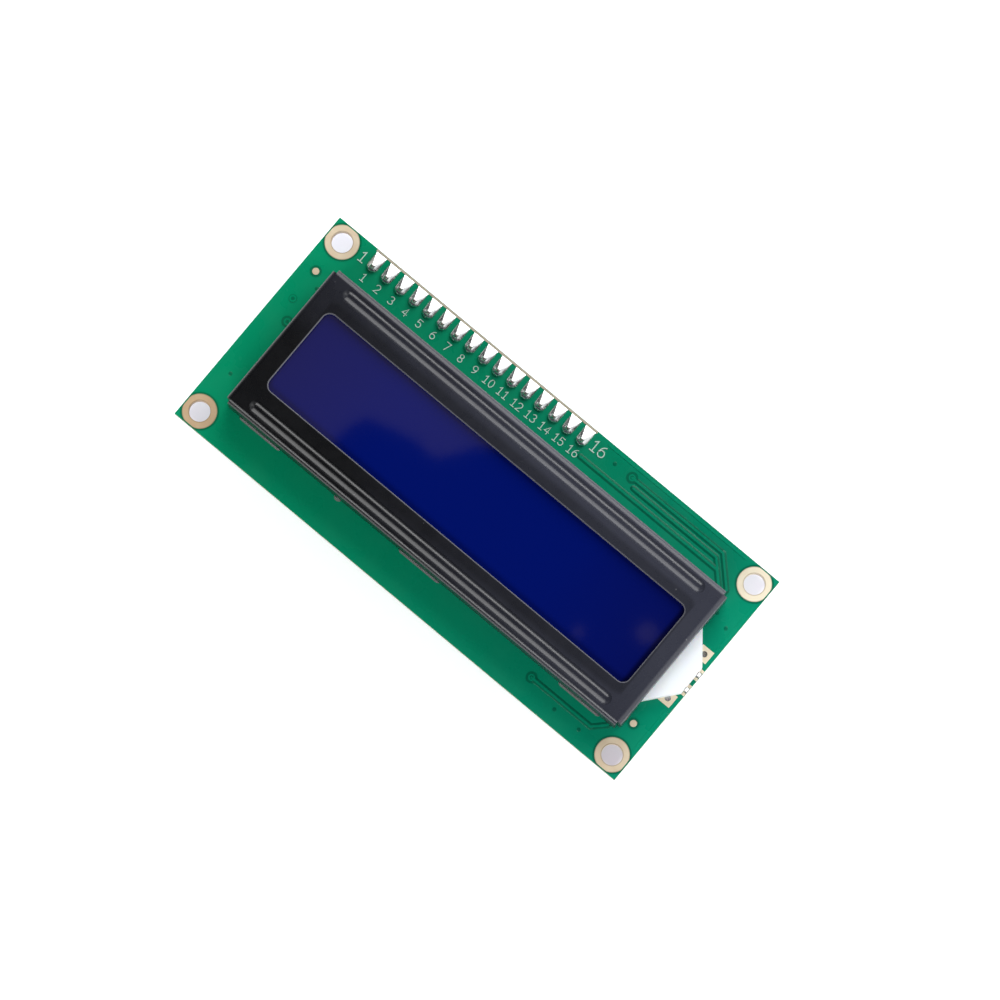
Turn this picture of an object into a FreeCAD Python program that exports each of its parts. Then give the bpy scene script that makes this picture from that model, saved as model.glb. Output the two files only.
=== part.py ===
import FreeCAD, Part
import math
import os

# Character LCD module, sixteen columns by two rows, with a serial adapter board on its back.
#
# Millimetres. The origin is the centre of the four mounting holes on the main board's front face.
# +X runs along the board towards the last header pin, +Y towards the header's edge, and +Z out of
# the display. Pieces on the back of either board are drawn as seen from behind, with their height
# measured up from the board's face, and are then turned over onto that face.

V = FreeCAD.Vector

# Main board
board_length = 80.0
board_width = 36.0
board_thickness = 1.6
mount_inset = 2.5
mount_hole_radius = 1.55

# Pin header between the boards
pin_count = 16
pitch = 2.54
pin_size = 0.64
pin_tip = 0.35
pin_hole_radius = 0.5
header_inset = 2.5
first_pin_inset = 8.0
housing_width = 2.5
housing_height = 2.54
housing_chamfer = 0.45
pin_front_length = 1.25
pin_back_length = 1.2
front_ridge_width = 1.7
front_ridge_height = 0.45
solder_pad_radius = 0.88
solder_height = 0.95
solder_neck = 0.06

# Bezel, stamped and folded from one sheet
sheet = 0.5
bezel_length = 71.2
bezel_width = 24.2
bezel_x = 0.38
bezel_y = -0.4
inner_bend = 0.35
corner_gap = 0.12
window_end_margin = 3.15
window_side_margin = 5.2
window_radius = 1.2
window_drop = 0.15
window_rollover = 0.12
groove_end_margin = 3.1
groove_width = 2.0
groove_depth = 0.55
groove_inset = 2.0
flap_length = 6.9
flap_height = 4.0
flap_flare = 0.6
flap_slit = 0.3

# Tabs that go through the main board and are twisted over its back
tab_end_inset = 6.6
tab_width = 7.2
tab_drop = 1.7
tab_straight = 3.1
tab_bend_radius = 1.6
tab_turn_header_side = 27.0
tab_turn_far_side = 40.0
tab_end_clearance = 0.2
tab_side_clearance = 0.4
tab_slot_inset = 0.12
lug_positions = (15.0, -14.85)
lug_width = 0.9
lug_drop = 1.2
lug_hole_radius = 0.68

# Backlight: white tray, reflector, light guide and diffuser, with a nose out of the bezel's end
fit_clearance = 0.1
tray_floor = 0.4
tray_wall = 0.8
reflector_thickness = 0.15
guide_thickness = 2.9
diffuser_thickness = 0.2
nose_y = -0.6
nose_root_width = 14.5
nose_tip_width = 4.5
nose_edge_margin = 0.55
nose_headroom = 0.3
led_length = 3.8
led_depth = 1.0
led_height = 2.0
led_lead_spacing = 2.7
led_lead_width = 0.6
led_lead_thickness = 0.4
led_lead_rise = 1.3
led_lead_drop = 0.5
notch_width = 0.8
notch_depth = 0.95
lead_pad_width = 1.7
lead_pad_length = 1.6
lead_solder_height = 0.3

# Liquid crystal cell
glass_end_clearance = 0.4
glass_thickness = 1.1
polarizer_thickness = 0.22
front_polarizer_margin = 1.2
strip_end_margin = 2.1
strip_width = 1.8

# Driver chips under drops of epoxy, seen from behind: across, up, radius, height
epoxy_left = (-13.15, 0.75, 5.7, 1.5)
epoxy_right = (12.6, -0.25, 6.9, 1.6)
epoxy_bands = 3

# Chip resistors and other small parts
large_chip = (2.0, 1.25, 0.5)
small_chip = (1.6, 0.8, 0.45)
chip_end = 0.35
chip_end_lip = 0.03
main_resistor_places = ((-20.3, 12.55), (22.7, -4.0), (30.3, -4.1), (30.3, -6.3))
bridge_inset = 8.2
bridge_y = 5.6
bridge_radius = 0.75
bridge_height = 0.35

# Adapter board, whose parts are placed from the last header pin: along the row, down from it
adapter_width = 19.3
adapter_thickness = 1.6
adapter_edge = 1.5
adapter_far_margin = 2.2
upright_places = ((7.1, 5.8), (10.5, 5.8), (5.4, 11.2), (7.8, 11.2), (9.7, 11.2))
level_places = ((12.1, 14.65), (16.3, 14.65), (19.8, 14.65))
capacitor_along = 8.75
capacitor_down = 5.8
led_chip_along = 3.7
led_chip_down = 11.2
led_lens_height = 0.35
link_along = 0.85
link_down = 6.3
link_spacing = 2.6
link_radius = 0.75
link_height = 0.6

# Small transistor
transistor_along = 4.45
transistor_down = 5.8
transistor_length = 2.9
transistor_width = 1.35
transistor_height = 1.0
transistor_lead_width = 0.42
transistor_lead_reach = 0.55
transistor_lead_spacing = 1.9

# Serial expander chip with sixteen leads
chip_along = 17.75
chip_down = 8.62
chip_body_length = 10.3
chip_body_width = 7.4
chip_body_height = 2.3
chip_standoff = 0.1
chip_edge_slope = 0.25
chip_lead_pitch = 1.27
chip_leads_a_side = 8
lead_width = 0.42
lead_thickness = 0.25
lead_bend = 0.25
lead_shoulder = 0.55
lead_foot = 0.75
dimple_radius = 0.45
dimple_depth = 0.12
dimple_inset = 1.25

# Contrast trimmer
trimmer_along = 29.05
trimmer_down = 8.17
trimmer_length = 7.2
trimmer_width = 7.1
trimmer_height = 4.6
trimmer_foot = 0.3
trimmer_foot_size = 1.1
trimmer_edge = 0.25
trimmer_base = 0.8
rotor_radius = 1.45
rotor_play = 0.05
rotor_recess = 0.15
rotor_lip = 0.9
collar_radius = 2.3
slot_width = 0.62
slot_length = 2.5
slot_depth = 0.7
slot_turn = 28.0
terminal_radius = 0.25
terminal_drop = 1.0
terminal_solder_height = 0.8
terminal_spread = 2.54
terminal_offset = 1.27
terminal_hole_radius = 0.4

# Four-pin serial header, with its pins bent over the adapter's end
serial_count = 4
serial_inset = 2.7
serial_down = 8.92
serial_overhang = 5.1
serial_bend_radius = 0.9
serial_leg_drop = 1.2

# Flats that stand in for small circles, and the points of a small solder drop's cap
drill_sides = 8
slot_sides = 12
drop_shares = (1.0, 0.6, 0.2)

# Levels and places that follow from the sizes above
mount_spacing_x = board_length - 2 * mount_inset
mount_spacing_y = board_width - 2 * mount_inset
header_y = board_width / 2 - header_inset
first_pin_x = -board_length / 2 + first_pin_inset
last_pin_x = first_pin_x + (pin_count - 1) * pitch
back_z = -board_thickness
adapter_front_z = back_z - housing_height
adapter_z = adapter_front_z - adapter_thickness
inner_length = bezel_length - 2 * sheet
inner_width = bezel_width - 2 * sheet
reflector_z = tray_floor + reflector_thickness
guide_z = reflector_z + guide_thickness
diffuser_z = guide_z + diffuser_thickness
rear_polarizer_z = diffuser_z + polarizer_thickness
rear_glass_z = rear_polarizer_z + glass_thickness
front_glass_z = rear_glass_z + glass_thickness
bezel_inner_z = front_glass_z + groove_depth
bezel_z = bezel_inner_z + sheet
groove_arc = (groove_width**2 / 4 + groove_depth**2) / (2 * groove_depth)
groove_back_arc = groove_arc + sheet
groove_back_half = math.sqrt(2 * groove_back_arc * groove_depth - groove_depth**2)
wall_y = bezel_width / 2 - sheet / 2
tab_spacing = bezel_length / 2 - tab_end_inset
tab_positions = (-tab_spacing, 0.0, tab_spacing)
groove_length = bezel_length - 2 * groove_end_margin
groove_offset = bezel_width / 2 - groove_inset
window_length = bezel_length - 2 * window_end_margin
window_width = bezel_width - 2 * window_side_margin
window_y = bezel_y - window_drop
glass_length = inner_length - 2 * glass_end_clearance
strip_length = inner_length - 2 * strip_end_margin
glass_width = inner_width - 2 * fit_clearance
tray_width = inner_width - 2 * strip_width - 4 * fit_clearance
tray_length = inner_length - 2 * fit_clearance
tray_end_x = bezel_x + tray_length / 2
guide_width = tray_width - 2 * tray_wall
guide_length = tray_length - 2 * tray_wall
guide_end_x = bezel_x + guide_length / 2
front_polarizer_length = glass_length - 2 * front_polarizer_margin
front_polarizer_width = 2 * (groove_offset - groove_back_half) - 4 * fit_clearance
nose_tip_x = board_length / 2 - nose_edge_margin
led_back_x = nose_tip_x - tray_wall
led_front_x = led_back_x - led_depth
slot_opening_length = tab_width + 2 * tab_end_clearance
slot_opening_width = sheet + 2 * tab_side_clearance
last_pin_across = -last_pin_x
bridge_across = bridge_inset - board_length / 2
first_pin_across = last_pin_across + (pin_count - 1) * pitch
adapter_near_across = last_pin_across - adapter_edge
adapter_far_across = first_pin_across + adapter_far_margin
serial_across = adapter_far_across - serial_inset
trimmer_across = last_pin_across + trimmer_along
trimmer_y = header_y - trimmer_down


def box(x0, x1, y0, y1, z0, z1):
    """Block between two opposite corners."""
    return Part.makeBox(x1 - x0, y1 - y0, z1 - z0, V(x0, y0, z0))


def block(x, y, length, width, z0, z1):
    """Block centred on x and y."""
    return box(x - length / 2, x + length / 2, y - width / 2, y + width / 2, z0, z1)


def rod(x, y, radius, z0, z1):
    """Round bar along Z."""
    return Part.makeCylinder(radius, z1 - z0, V(x, y, z0))


def flat_face(corners):
    """Flat face between corners."""
    return Part.Face(Part.makePolygon(corners + corners[:1]))


def ring_of_points(x, y, radius, z, sides):
    """Corners of the many-sided outline that stands in for a small circle."""
    step = 2 * math.pi / sides
    angles = [(i + 0.5) * step for i in range(sides)]
    return [V(x + radius * math.cos(a), y + radius * math.sin(a), z) for a in angles]


def many_sided_bar(x, y, radius, z0, z1, sides=drill_sides):
    """Many-sided bar along Z, its corners on the radius, for small holes, plugs and pins."""
    return flat_face(ring_of_points(x, y, radius, z0, sides)).extrude(V(0, 0, z1 - z0))


def many_sided_cone(x, y, radius0, radius1, z0, z1):
    """Many-sided cone frustum between two heights, for small solder."""
    low = ring_of_points(x, y, radius0, z0, drill_sides)
    high = ring_of_points(x, y, radius1, z1, drill_sides)
    faces = [flat_face(low), flat_face(high)]
    for i in range(drill_sides):
        faces.append(flat_face([low[i - 1], low[i], high[i], high[i - 1]]))
    solid = Part.Solid(Part.Shell(faces))
    if solid.Volume < 0:
        solid.reverse()
    return solid


def prism(points, z0, z1):
    """Straight prism on a closed outline in the XY plane."""
    return flat_face([V(x, y, z0) for x, y in points]).extrude(V(0, 0, z1 - z0))


def stadium(x, y, length, width, z0, z1):
    """Slot-shaped prism along X, with round ends."""
    half = (length - width) / 2
    end_radius = width / 2 / math.cos(math.pi / slot_sides)
    solid = block(x, y, 2 * half, width, z0, z1)
    for side in (-half, half):
        solid = solid.fuse(many_sided_bar(x + side, y, end_radius, z0, z1, slot_sides))
    return solid.removeSplitter()


def rounded_block(x, y, length, width, radius, z0, z1):
    """Block with its four upright edges rounded."""
    solid = block(x, y, length, width, z0, z1)
    upright = [e for e in solid.Edges if abs(e.Vertexes[0].Z - e.Vertexes[1].Z) > (z1 - z0) / 2]
    return solid.makeFillet(radius, upright)


def top_edges(solid, z):
    """Edges of a solid that lie wholly at height z."""
    level = 1e-6
    found = []
    for edge in solid.Edges:
        limits = edge.BoundBox
        if abs(limits.ZMin - z) < level and abs(limits.ZMax - z) < level:
            found.append(edge)
    return found


def cap_profile(radius, height, shares):
    """Points (radius, height) on a ball's cap, at shares of the angle from its crown to its rim."""
    arc = (radius**2 + height**2) / (2 * height)
    rim_angle = math.asin(radius / arc)
    angles = [rim_angle * share for share in shares]
    return [(arc * math.sin(a), height - arc + arc * math.cos(a)) for a in angles]


def epoxy_drop(x, y, radius, height):
    """Drop of epoxy on a flat face: a ball's cap, turned as a few cone bands."""
    shares = [1 - i / epoxy_bands for i in range(epoxy_bands + 1)]
    profile = [V(r, 0, z) for r, z in cap_profile(radius, height, shares)]
    cap = flat_face([V(0, 0, 0)] + profile).revolve(V(0, 0, 0), V(0, 0, 1), 360)
    return moved(cap, x, y)


def solder_drop(x, y, radius, height):
    """Small drop of solder on a flat face: a many-sided ball's cap with a small flat crown."""
    profile = cap_profile(radius, height, drop_shares)
    drop = None
    for (radius0, z0), (radius1, z1) in zip(profile, profile[1:]):
        band = many_sided_cone(x, y, radius0, radius1, z0, z1)
        drop = band if drop is None else drop.fuse(band)
    return drop.removeSplitter()


def bent_strip(points, radius, thickness, width, round_bends=True):
    """Sheet metal strip that follows points in the XY plane, bent to radius on its middle line.

    The two sides are the middle line moved out by half the thickness, so each bend is a pair of
    arcs about one centre. Small leads have a flat across each bend instead of the arcs. The
    outline is then given its width along Z, half to each side.
    """
    half = thickness / 2
    path = [V(x, y, -width / 2) for x, y in points]
    left_side = []
    right_side = []
    run = (path[1] - path[0]).normalize()
    normal = V(-run.y, run.x, 0)
    left_point = path[0] + normal * half
    right_point = path[0] - normal * half
    start_cap = Part.makeLine(right_point, left_point)
    for here, after in zip(path[1:-1], path[2:]):
        next_run = (after - here).normalize()
        next_normal = V(-next_run.y, next_run.x, 0)
        turn = math.copysign(1, run.cross(next_run).z)
        tangent = radius * math.tan(run.getAngle(next_run) / 2)
        centre = here - run * tangent + normal * turn * radius
        middle = (here - centre).normalize()
        for side, start, edges in ((1, left_point, left_side), (-1, right_point, right_side)):
            bend = radius - side * turn * half
            arc_start = here - run * tangent + normal * side * half
            arc_end = here + next_run * tangent + next_normal * side * half
            edges.append(Part.makeLine(start, arc_start))
            if round_bends:
                edges.append(Part.Arc(arc_start, centre + middle * bend, arc_end).toShape())
            else:
                edges.append(Part.makeLine(arc_start, arc_end))
        left_point = here + next_run * tangent + next_normal * half
        right_point = here + next_run * tangent - next_normal * half
        run = next_run
        normal = next_normal
    left_end = path[-1] + normal * half
    right_end = path[-1] - normal * half
    left_side.append(Part.makeLine(left_point, left_end))
    right_side.append(Part.makeLine(right_point, right_end))
    end_cap = Part.makeLine(left_end, right_end)
    outline = Part.Wire(left_side + [end_cap] + right_side[::-1] + [start_cap])
    return Part.Face(outline).extrude(V(0, 0, width))


def on_edge(solid):
    """Turn a strip drawn in the XY plane upright: its Y becomes height and its width runs along Y."""
    solid.rotate(V(0, 0, 0), V(1, 0, 0), 90)
    return solid


def moved(solid, x, y, z=0.0):
    """Copy of a solid, moved."""
    copy = solid.copy()
    copy.translate(V(x, y, z))
    return copy


def spun(solid, degrees):
    """Copy of a solid, turned about the Z axis."""
    copy = solid.copy()
    copy.rotate(V(0, 0, 0), V(0, 0, 1), degrees)
    return copy


def on_back(solid, face_z):
    """Turn a piece over onto the back of a board."""
    copy = solid.copy()
    copy.rotate(V(0, 0, 0), V(0, 1, 0), 180)
    copy.translate(V(0, 0, face_z))
    return copy


def header_xs():
    """Places of the main header's pins along X, first pin first."""
    return [first_pin_x + i * pitch for i in range(pin_count)]


def serial_ys():
    """Places of the serial header's pins along Y, nearest the main header first."""
    middle = header_y - serial_down
    return [middle + (serial_count - 1) * pitch / 2 - i * pitch for i in range(serial_count)]


def lead_ys():
    """Places of the backlight's two leads along Y."""
    return [nose_y + led_lead_spacing / 2, nose_y - led_lead_spacing / 2]


def terminal_places():
    """Places of the trimmer's three terminals, seen from behind."""
    return [
        (trimmer_across - terminal_spread, trimmer_y - terminal_offset),
        (trimmer_across, trimmer_y + terminal_offset),
        (trimmer_across + terminal_spread, trimmer_y - terminal_offset),
    ]


def link_places():
    """Places of the backlight link's two holes, seen from behind."""
    across = last_pin_across + link_along
    return [(across, header_y - link_down), (across, header_y - link_down - link_spacing)]


def main_board():
    """Main board, with its mounting, pin, tab and lug holes and the notches for the backlight's leads."""
    board = block(0, 0, board_length, board_width, back_z, 0)
    holes = []
    for x in (-mount_spacing_x / 2, mount_spacing_x / 2):
        for y in (-mount_spacing_y / 2, mount_spacing_y / 2):
            holes.append(rod(x, y, mount_hole_radius, back_z, 0))
    for x in header_xs():
        holes.append(many_sided_bar(x, header_y, pin_hole_radius, back_z, 0))
    for x in tab_positions:
        for side in (-1, 1):
            y = bezel_y + side * (wall_y - tab_slot_inset)
            holes.append(stadium(x, y, slot_opening_length, slot_opening_width, back_z, 0))
    for x, side in zip(lug_positions, (1, -1)):
        y = bezel_y + side * wall_y
        holes.append(many_sided_bar(x, y, lug_hole_radius, back_z, 0, slot_sides))
    for y in lead_ys():
        holes.append(block(board_length / 2, y, 2 * notch_depth, notch_width, back_z, 0))
    return board.cut(Part.makeCompound(holes))


def groove(arc, x, y):
    """Trough form with round ends: a bar and two balls of one radius, sunk to the groove's depth."""
    z = bezel_z - groove_depth + groove_arc
    half = (groove_length - groove_width) / 2
    form = Part.makeCylinder(arc, 2 * half, V(x - half, y, z), V(1, 0, 0))
    for side in (-half, half):
        form = form.fuse(Part.makeSphere(arc, V(x + side, y, z)))
    return form.removeSplitter()


def twisted_tab(turn):
    """Tab that hangs from a wall, with one end twisted inwards over the board's back."""
    angle = math.radians(turn)
    reach = tab_width - tab_straight
    corner = -tab_width / 2 + tab_straight
    points = (
        (-tab_width / 2, 0),
        (corner, 0),
        (corner + reach * math.cos(angle), -reach * math.sin(angle)),
    )
    blade = bent_strip(points, tab_bend_radius, sheet, tab_drop)
    return moved(blade, 0, 0, back_z - tab_drop / 2)


def bezel_tabs():
    """Six twisted tabs, their roots in the board's slots, and the two locating lugs."""
    pieces = []
    for side, turn in ((1, tab_turn_header_side), (-1, tab_turn_far_side)):
        blade = twisted_tab(turn)
        if side < 0:
            blade = spun(blade, 180)
        for x in tab_positions:
            y = bezel_y + side * wall_y
            pieces.append(block(x, y, tab_width, sheet, back_z, sheet))
            pieces.append(moved(blade, x, y))
    for x, side in zip(lug_positions, (1, -1)):
        pieces.append(block(x, bezel_y + side * wall_y, lug_width, sheet, -lug_drop, sheet))
    return pieces


def end_flap():
    """Flap of the plain end wall that stands a little out at its foot."""
    face_x = bezel_x - bezel_length / 2
    points = [
        V(face_x, 0, flap_height),
        V(face_x + sheet, 0, flap_height),
        V(face_x + sheet - flap_flare, 0, 0),
        V(face_x - flap_flare, 0, 0),
    ]
    flap = flat_face(points).extrude(V(0, flap_length, 0))
    return moved(flap, 0, bezel_y - flap_length / 2)


def bezel():
    """Bezel: a tray-shaped stamping, open at its corners, with window, grooves, nose opening and tabs."""
    outer = block(bezel_x, bezel_y, bezel_length, bezel_width, 0, bezel_z)
    shell = outer.makeFillet(inner_bend + sheet, top_edges(outer, bezel_z))
    core = block(bezel_x, bezel_y, inner_length, inner_width, 0, bezel_inner_z)
    shell = shell.cut(core.makeFillet(inner_bend, top_edges(core, bezel_inner_z)))

    relief = sheet + corner_gap
    for x in (bezel_x - bezel_length / 2, bezel_x + bezel_length / 2):
        for y in (bezel_y - bezel_width / 2, bezel_y + bezel_width / 2):
            shell = shell.cut(block(x, y, 2 * relief, 2 * relief, 0, bezel_z))

    window = rounded_block(bezel_x, window_y, window_length, window_width, window_radius, 0, bezel_z)
    lip_length = window_length + 2 * window_rollover
    lip_width = window_width + 2 * window_rollover
    lip_radius = window_radius + window_rollover
    lip = rounded_block(
        bezel_x, window_y, lip_length, lip_width, lip_radius, bezel_z - window_rollover, bezel_z
    )
    lip = lip.makeChamfer(window_rollover * 0.99, top_edges(lip, bezel_z - window_rollover))
    shell = shell.cut(window).cut(lip)

    for side in (-1, 1):
        y = bezel_y + side * groove_offset
        under = block(bezel_x, y, groove_length, 4 * groove_width, front_glass_z, bezel_inner_z)
        shell = shell.fuse(groove(groove_back_arc, bezel_x, y).common(under))
        shell = shell.cut(groove(groove_arc, bezel_x, y))

    opening_width = nose_root_width + 2 * nose_headroom
    opening_z = diffuser_z + nose_headroom
    end_x = bezel_x + bezel_length / 2
    shell = shell.cut(block(end_x, nose_y, 3 * sheet, opening_width, 0, opening_z))

    flap_x = bezel_x - bezel_length / 2
    slit_length = flap_length + 2 * flap_slit
    shell = shell.cut(block(flap_x, bezel_y, 3 * sheet, slit_length, 0, flap_height))
    shell = shell.fuse([end_flap()] + bezel_tabs())
    return shell.removeSplitter()


def nose_outline(inset, root_x, tip_x):
    """Outline of the backlight's nose: a trapezoid from root_x to tip_x, its sides moved in by inset."""
    slope = (nose_root_width - nose_tip_width) / 2 / (nose_tip_x - tray_end_x)
    root = nose_root_width / 2 - inset - slope * (root_x - tray_end_x)
    tip = nose_root_width / 2 - inset - slope * (tip_x - tray_end_x)
    return [
        (root_x, nose_y - root),
        (tip_x, nose_y - tip),
        (tip_x, nose_y + tip),
        (root_x, nose_y + root),
    ]


def led_room():
    """Room for the backlight LED in the nose, for the leads behind it, and for their way down outside."""
    y0 = nose_y - led_length / 2
    y1 = nose_y + led_length / 2
    half = led_lead_width / 2
    outside_x = max(nose_tip_x, tray_end_x) + tray_wall
    room = [box(led_front_x, led_back_x, y0, y1, tray_floor, guide_z)]
    for y in lead_ys():
        room.append(box(led_back_x, outside_x, y - half, y + half, tray_floor, guide_z))
        room.append(box(nose_tip_x, outside_x, y - half, y + half, 0, tray_floor))
    return Part.makeCompound(room)


def backlight_tray():
    """White tray that holds the light guide, with its nose, the backlight LED's pocket and lead slots."""
    tray = block(bezel_x, bezel_y, tray_length, tray_width, 0, guide_z)
    tray = tray.fuse(prism(nose_outline(0, tray_end_x, nose_tip_x), 0, guide_z))
    well = block(bezel_x, bezel_y, guide_length, guide_width, tray_floor, guide_z)
    well = well.fuse(prism(nose_outline(tray_wall, guide_end_x, led_front_x), tray_floor, guide_z))
    return tray.cut(well).cut(led_room()).removeSplitter()


def guide_plate(z0, z1):
    """Plate with the light guide's outline, between two heights."""
    plate = block(bezel_x, bezel_y, guide_length, guide_width, z0, z1)
    plate = plate.fuse(prism(nose_outline(tray_wall, guide_end_x, led_front_x), z0, z1))
    return plate.cut(led_room()).removeSplitter()


def diffuser_film():
    """Diffuser film over the whole backlight, nose included."""
    film = block(bezel_x, bezel_y, tray_length, tray_width, guide_z, diffuser_z)
    return film.fuse(prism(nose_outline(0, tray_end_x, nose_tip_x), guide_z, diffuser_z)).removeSplitter()


def backlight_led():
    """Side-emitting LED body in the nose's pocket."""
    y0 = nose_y - led_length / 2
    y1 = nose_y + led_length / 2
    return box(led_front_x, led_back_x, y0, y1, tray_floor, tray_floor + led_height)


def backlight_leads():
    """Two leads from the LED's back, bent down through the notches in the board's edge."""
    drop_x = (nose_tip_x + board_length / 2) / 2
    points = (
        (led_back_x, led_lead_rise),
        (drop_x, led_lead_rise),
        (drop_x, back_z - led_lead_drop),
    )
    lead = on_edge(bent_strip(points, led_lead_thickness, led_lead_thickness, led_lead_width))
    return [moved(lead, 0, y) for y in lead_ys()]


def backlight_solder(leads):
    """Solder that fills each notch and mounds over its pads, around the lead."""
    joints = []
    edge = board_length / 2
    for lead, y in zip(leads, lead_ys()):
        plug = box(edge - notch_depth, edge, y - notch_width / 2, y + notch_width / 2, back_z, 0)
        mound = box(
            edge - lead_pad_length, edge, y - lead_pad_width / 2, y + lead_pad_width / 2,
            back_z - lead_solder_height, back_z
        )
        rim = top_edges(mound, back_z - lead_solder_height)
        mound = mound.makeChamfer(lead_solder_height * 0.8, rim)
        joints.append(plug.fuse(mound).removeSplitter().cut(lead))
    return joints


def header_housing_units(count, across, along_x):
    """Plastic strip of chamfered units, one for each pin, with a square hole through each."""
    half = pitch / 2
    side = housing_width / 2
    cut = housing_chamfer
    strip = None
    for i in range(count):
        centre = across + i * pitch
        outline = [
            (centre - half, -side + cut), (centre - half + cut, -side),
            (centre + half - cut, -side), (centre + half, -side + cut),
            (centre + half, side - cut), (centre + half - cut, side),
            (centre - half + cut, side), (centre - half, side - cut),
        ]
        unit = prism(outline, 0, housing_height)
        unit = unit.cut(block(centre, 0, pin_size, pin_size, 0, housing_height))
        strip = unit if strip is None else strip.fuse(unit)
    strip = strip.removeSplitter()
    return strip if along_x else spun(strip, 90)


def header_housing():
    """Housing of the main header, between the two boards."""
    strip = header_housing_units(pin_count, last_pin_across, True)
    return on_back(moved(strip, 0, header_y), back_z)


def pointed(length, size, tip):
    """Square pin along Z from 0 to length, with all four sides tapered in at both ends."""
    half = size / 2
    point = half / 2
    far_tip = length - tip
    outline = [
        V(-point, -half, 0), V(point, -half, 0), V(half, -half, tip), V(half, -half, far_tip),
        V(point, -half, length), V(-point, -half, length), V(-half, -half, far_tip), V(-half, -half, tip),
    ]
    slab = flat_face(outline).extrude(V(0, size, 0))
    return slab.common(spun(slab, 90))


def header_pin():
    """One pin of the main header, standing at the origin."""
    bottom = adapter_z - pin_back_length
    pin = pointed(pin_front_length - bottom, pin_size, pin_tip)
    return moved(pin, 0, 0, bottom)


def solder_joint(pin, depth):
    """Solder cone round a pin on a face at height 0, with the plug that fills its plated hole."""
    neck = pin_size * math.sqrt(0.5) + solder_neck
    cone = many_sided_cone(0, 0, solder_pad_radius, neck, 0, solder_height)
    plug = many_sided_bar(0, 0, pin_hole_radius, -depth, 0)
    return cone.fuse(plug).cut(pin)


def front_joint(pin):
    """Front solder joint: a cone with a ridge that runs over its long pad to the board's edge."""
    half = front_ridge_width / 2
    crest = half / 2
    top = front_ridge_height
    ridge = flat_face([V(-half, 0, 0), V(-crest, 0, top), V(crest, 0, top), V(half, 0, 0)])
    ridge = ridge.extrude(V(0, header_inset, 0))
    return solder_joint(pin, board_thickness).fuse(ridge.cut(pin)).removeSplitter()


def header_solder(pin):
    """Front joints and adapter joints of the main header."""
    short_pin = moved(pin, 0, 0)
    front = front_joint(short_pin)
    flipped = on_back(pin, adapter_z)
    back = solder_joint(moved(flipped, 0, 0), adapter_thickness)
    fronts = [moved(front, x, header_y) for x in header_xs()]
    backs = [on_back(moved(back, -x, header_y), adapter_z) for x in header_xs()]
    return fronts, backs


def adapter_board():
    """Adapter board, with the holes of the two headers, the trimmer and the backlight link."""
    low_y = header_y + adapter_edge - adapter_width
    high_y = header_y + adapter_edge
    board = box(-adapter_far_across, -adapter_near_across, low_y, high_y, adapter_z, adapter_front_z)
    holes = [(x, header_y, pin_hole_radius) for x in header_xs()]
    holes += [(-serial_across, y, pin_hole_radius) for y in serial_ys()]
    holes += [(-x, y, terminal_hole_radius) for x, y in terminal_places()]
    holes += [(-x, y, pin_hole_radius) for x, y in link_places()]
    drills = [many_sided_bar(x, y, radius, adapter_z, adapter_front_z) for x, y, radius in holes]
    return board.cut(Part.makeCompound(drills))


def wrapped_chip(size, upright):
    """Ceramic chip part with slightly thicker metal ends, lying on a face."""
    length, width, height = size
    body = block(0, 0, length - 2 * chip_end, width, 0, height)
    for side in (-1, 1):
        x = side * (length - chip_end) / 2
        body = body.fuse(block(x, 0, chip_end, width + 2 * chip_end_lip, 0, height + chip_end_lip))
    return spun(body, 90) if upright else body


def main_resistors():
    """Chip resistors on the back of the main board."""
    chip = wrapped_chip(large_chip, False)
    return [on_back(moved(chip, x, y), back_z) for x, y in main_resistor_places]


def adapter_resistors():
    """Chip resistors on the adapter."""
    chips = []
    for places, upright in ((upright_places, True), (level_places, False)):
        chip = wrapped_chip(small_chip, upright)
        chips += [moved(chip, last_pin_across + along, header_y - down) for along, down in places]
    return [on_back(chip, adapter_z) for chip in chips]


def adapter_capacitor():
    """Chip capacitor on the adapter."""
    chip = wrapped_chip(small_chip, True)
    return on_back(moved(chip, last_pin_across + capacitor_along, header_y - capacitor_down), adapter_z)


def power_led():
    """Power LED on the adapter: a chip base with a lens block on it."""
    length, width, height = small_chip
    base = block(0, 0, width, length, 0, height)
    lens = block(0, 0, width, length - 2 * chip_end, height, height + led_lens_height)
    lens = lens.makeChamfer(led_lens_height / 3, top_edges(lens, height + led_lens_height))
    led = base.fuse(lens)
    return on_back(moved(led, last_pin_across + led_chip_along, header_y - led_chip_down), adapter_z)


def expander_chip():
    """Moulded chip body, its sides sloped to a middle parting line, with a pin-one dimple."""
    half_length = chip_body_length / 2
    half_width = chip_body_width / 2
    slope = chip_edge_slope
    middle = chip_standoff + chip_body_height / 2
    levels = ((chip_standoff, slope), (middle, 0), (chip_standoff + chip_body_height, slope))
    wires = []
    for z, inset in levels:
        x = half_width - inset
        y = half_length - inset
        corners = [V(-x, -y, z), V(x, -y, z), V(x, y, z), V(-x, y, z)]
        wires.append(Part.makePolygon(corners + corners[:1]))
    body = Part.makeLoft(wires, True, True)
    top = chip_standoff + chip_body_height
    dimple_x = half_width - dimple_inset
    dimple_y = -half_length + dimple_inset
    body = body.cut(rod(dimple_x, dimple_y, dimple_radius, top - dimple_depth, top))
    return on_back(moved(body, last_pin_across + chip_along, header_y - chip_down), adapter_z)


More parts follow.
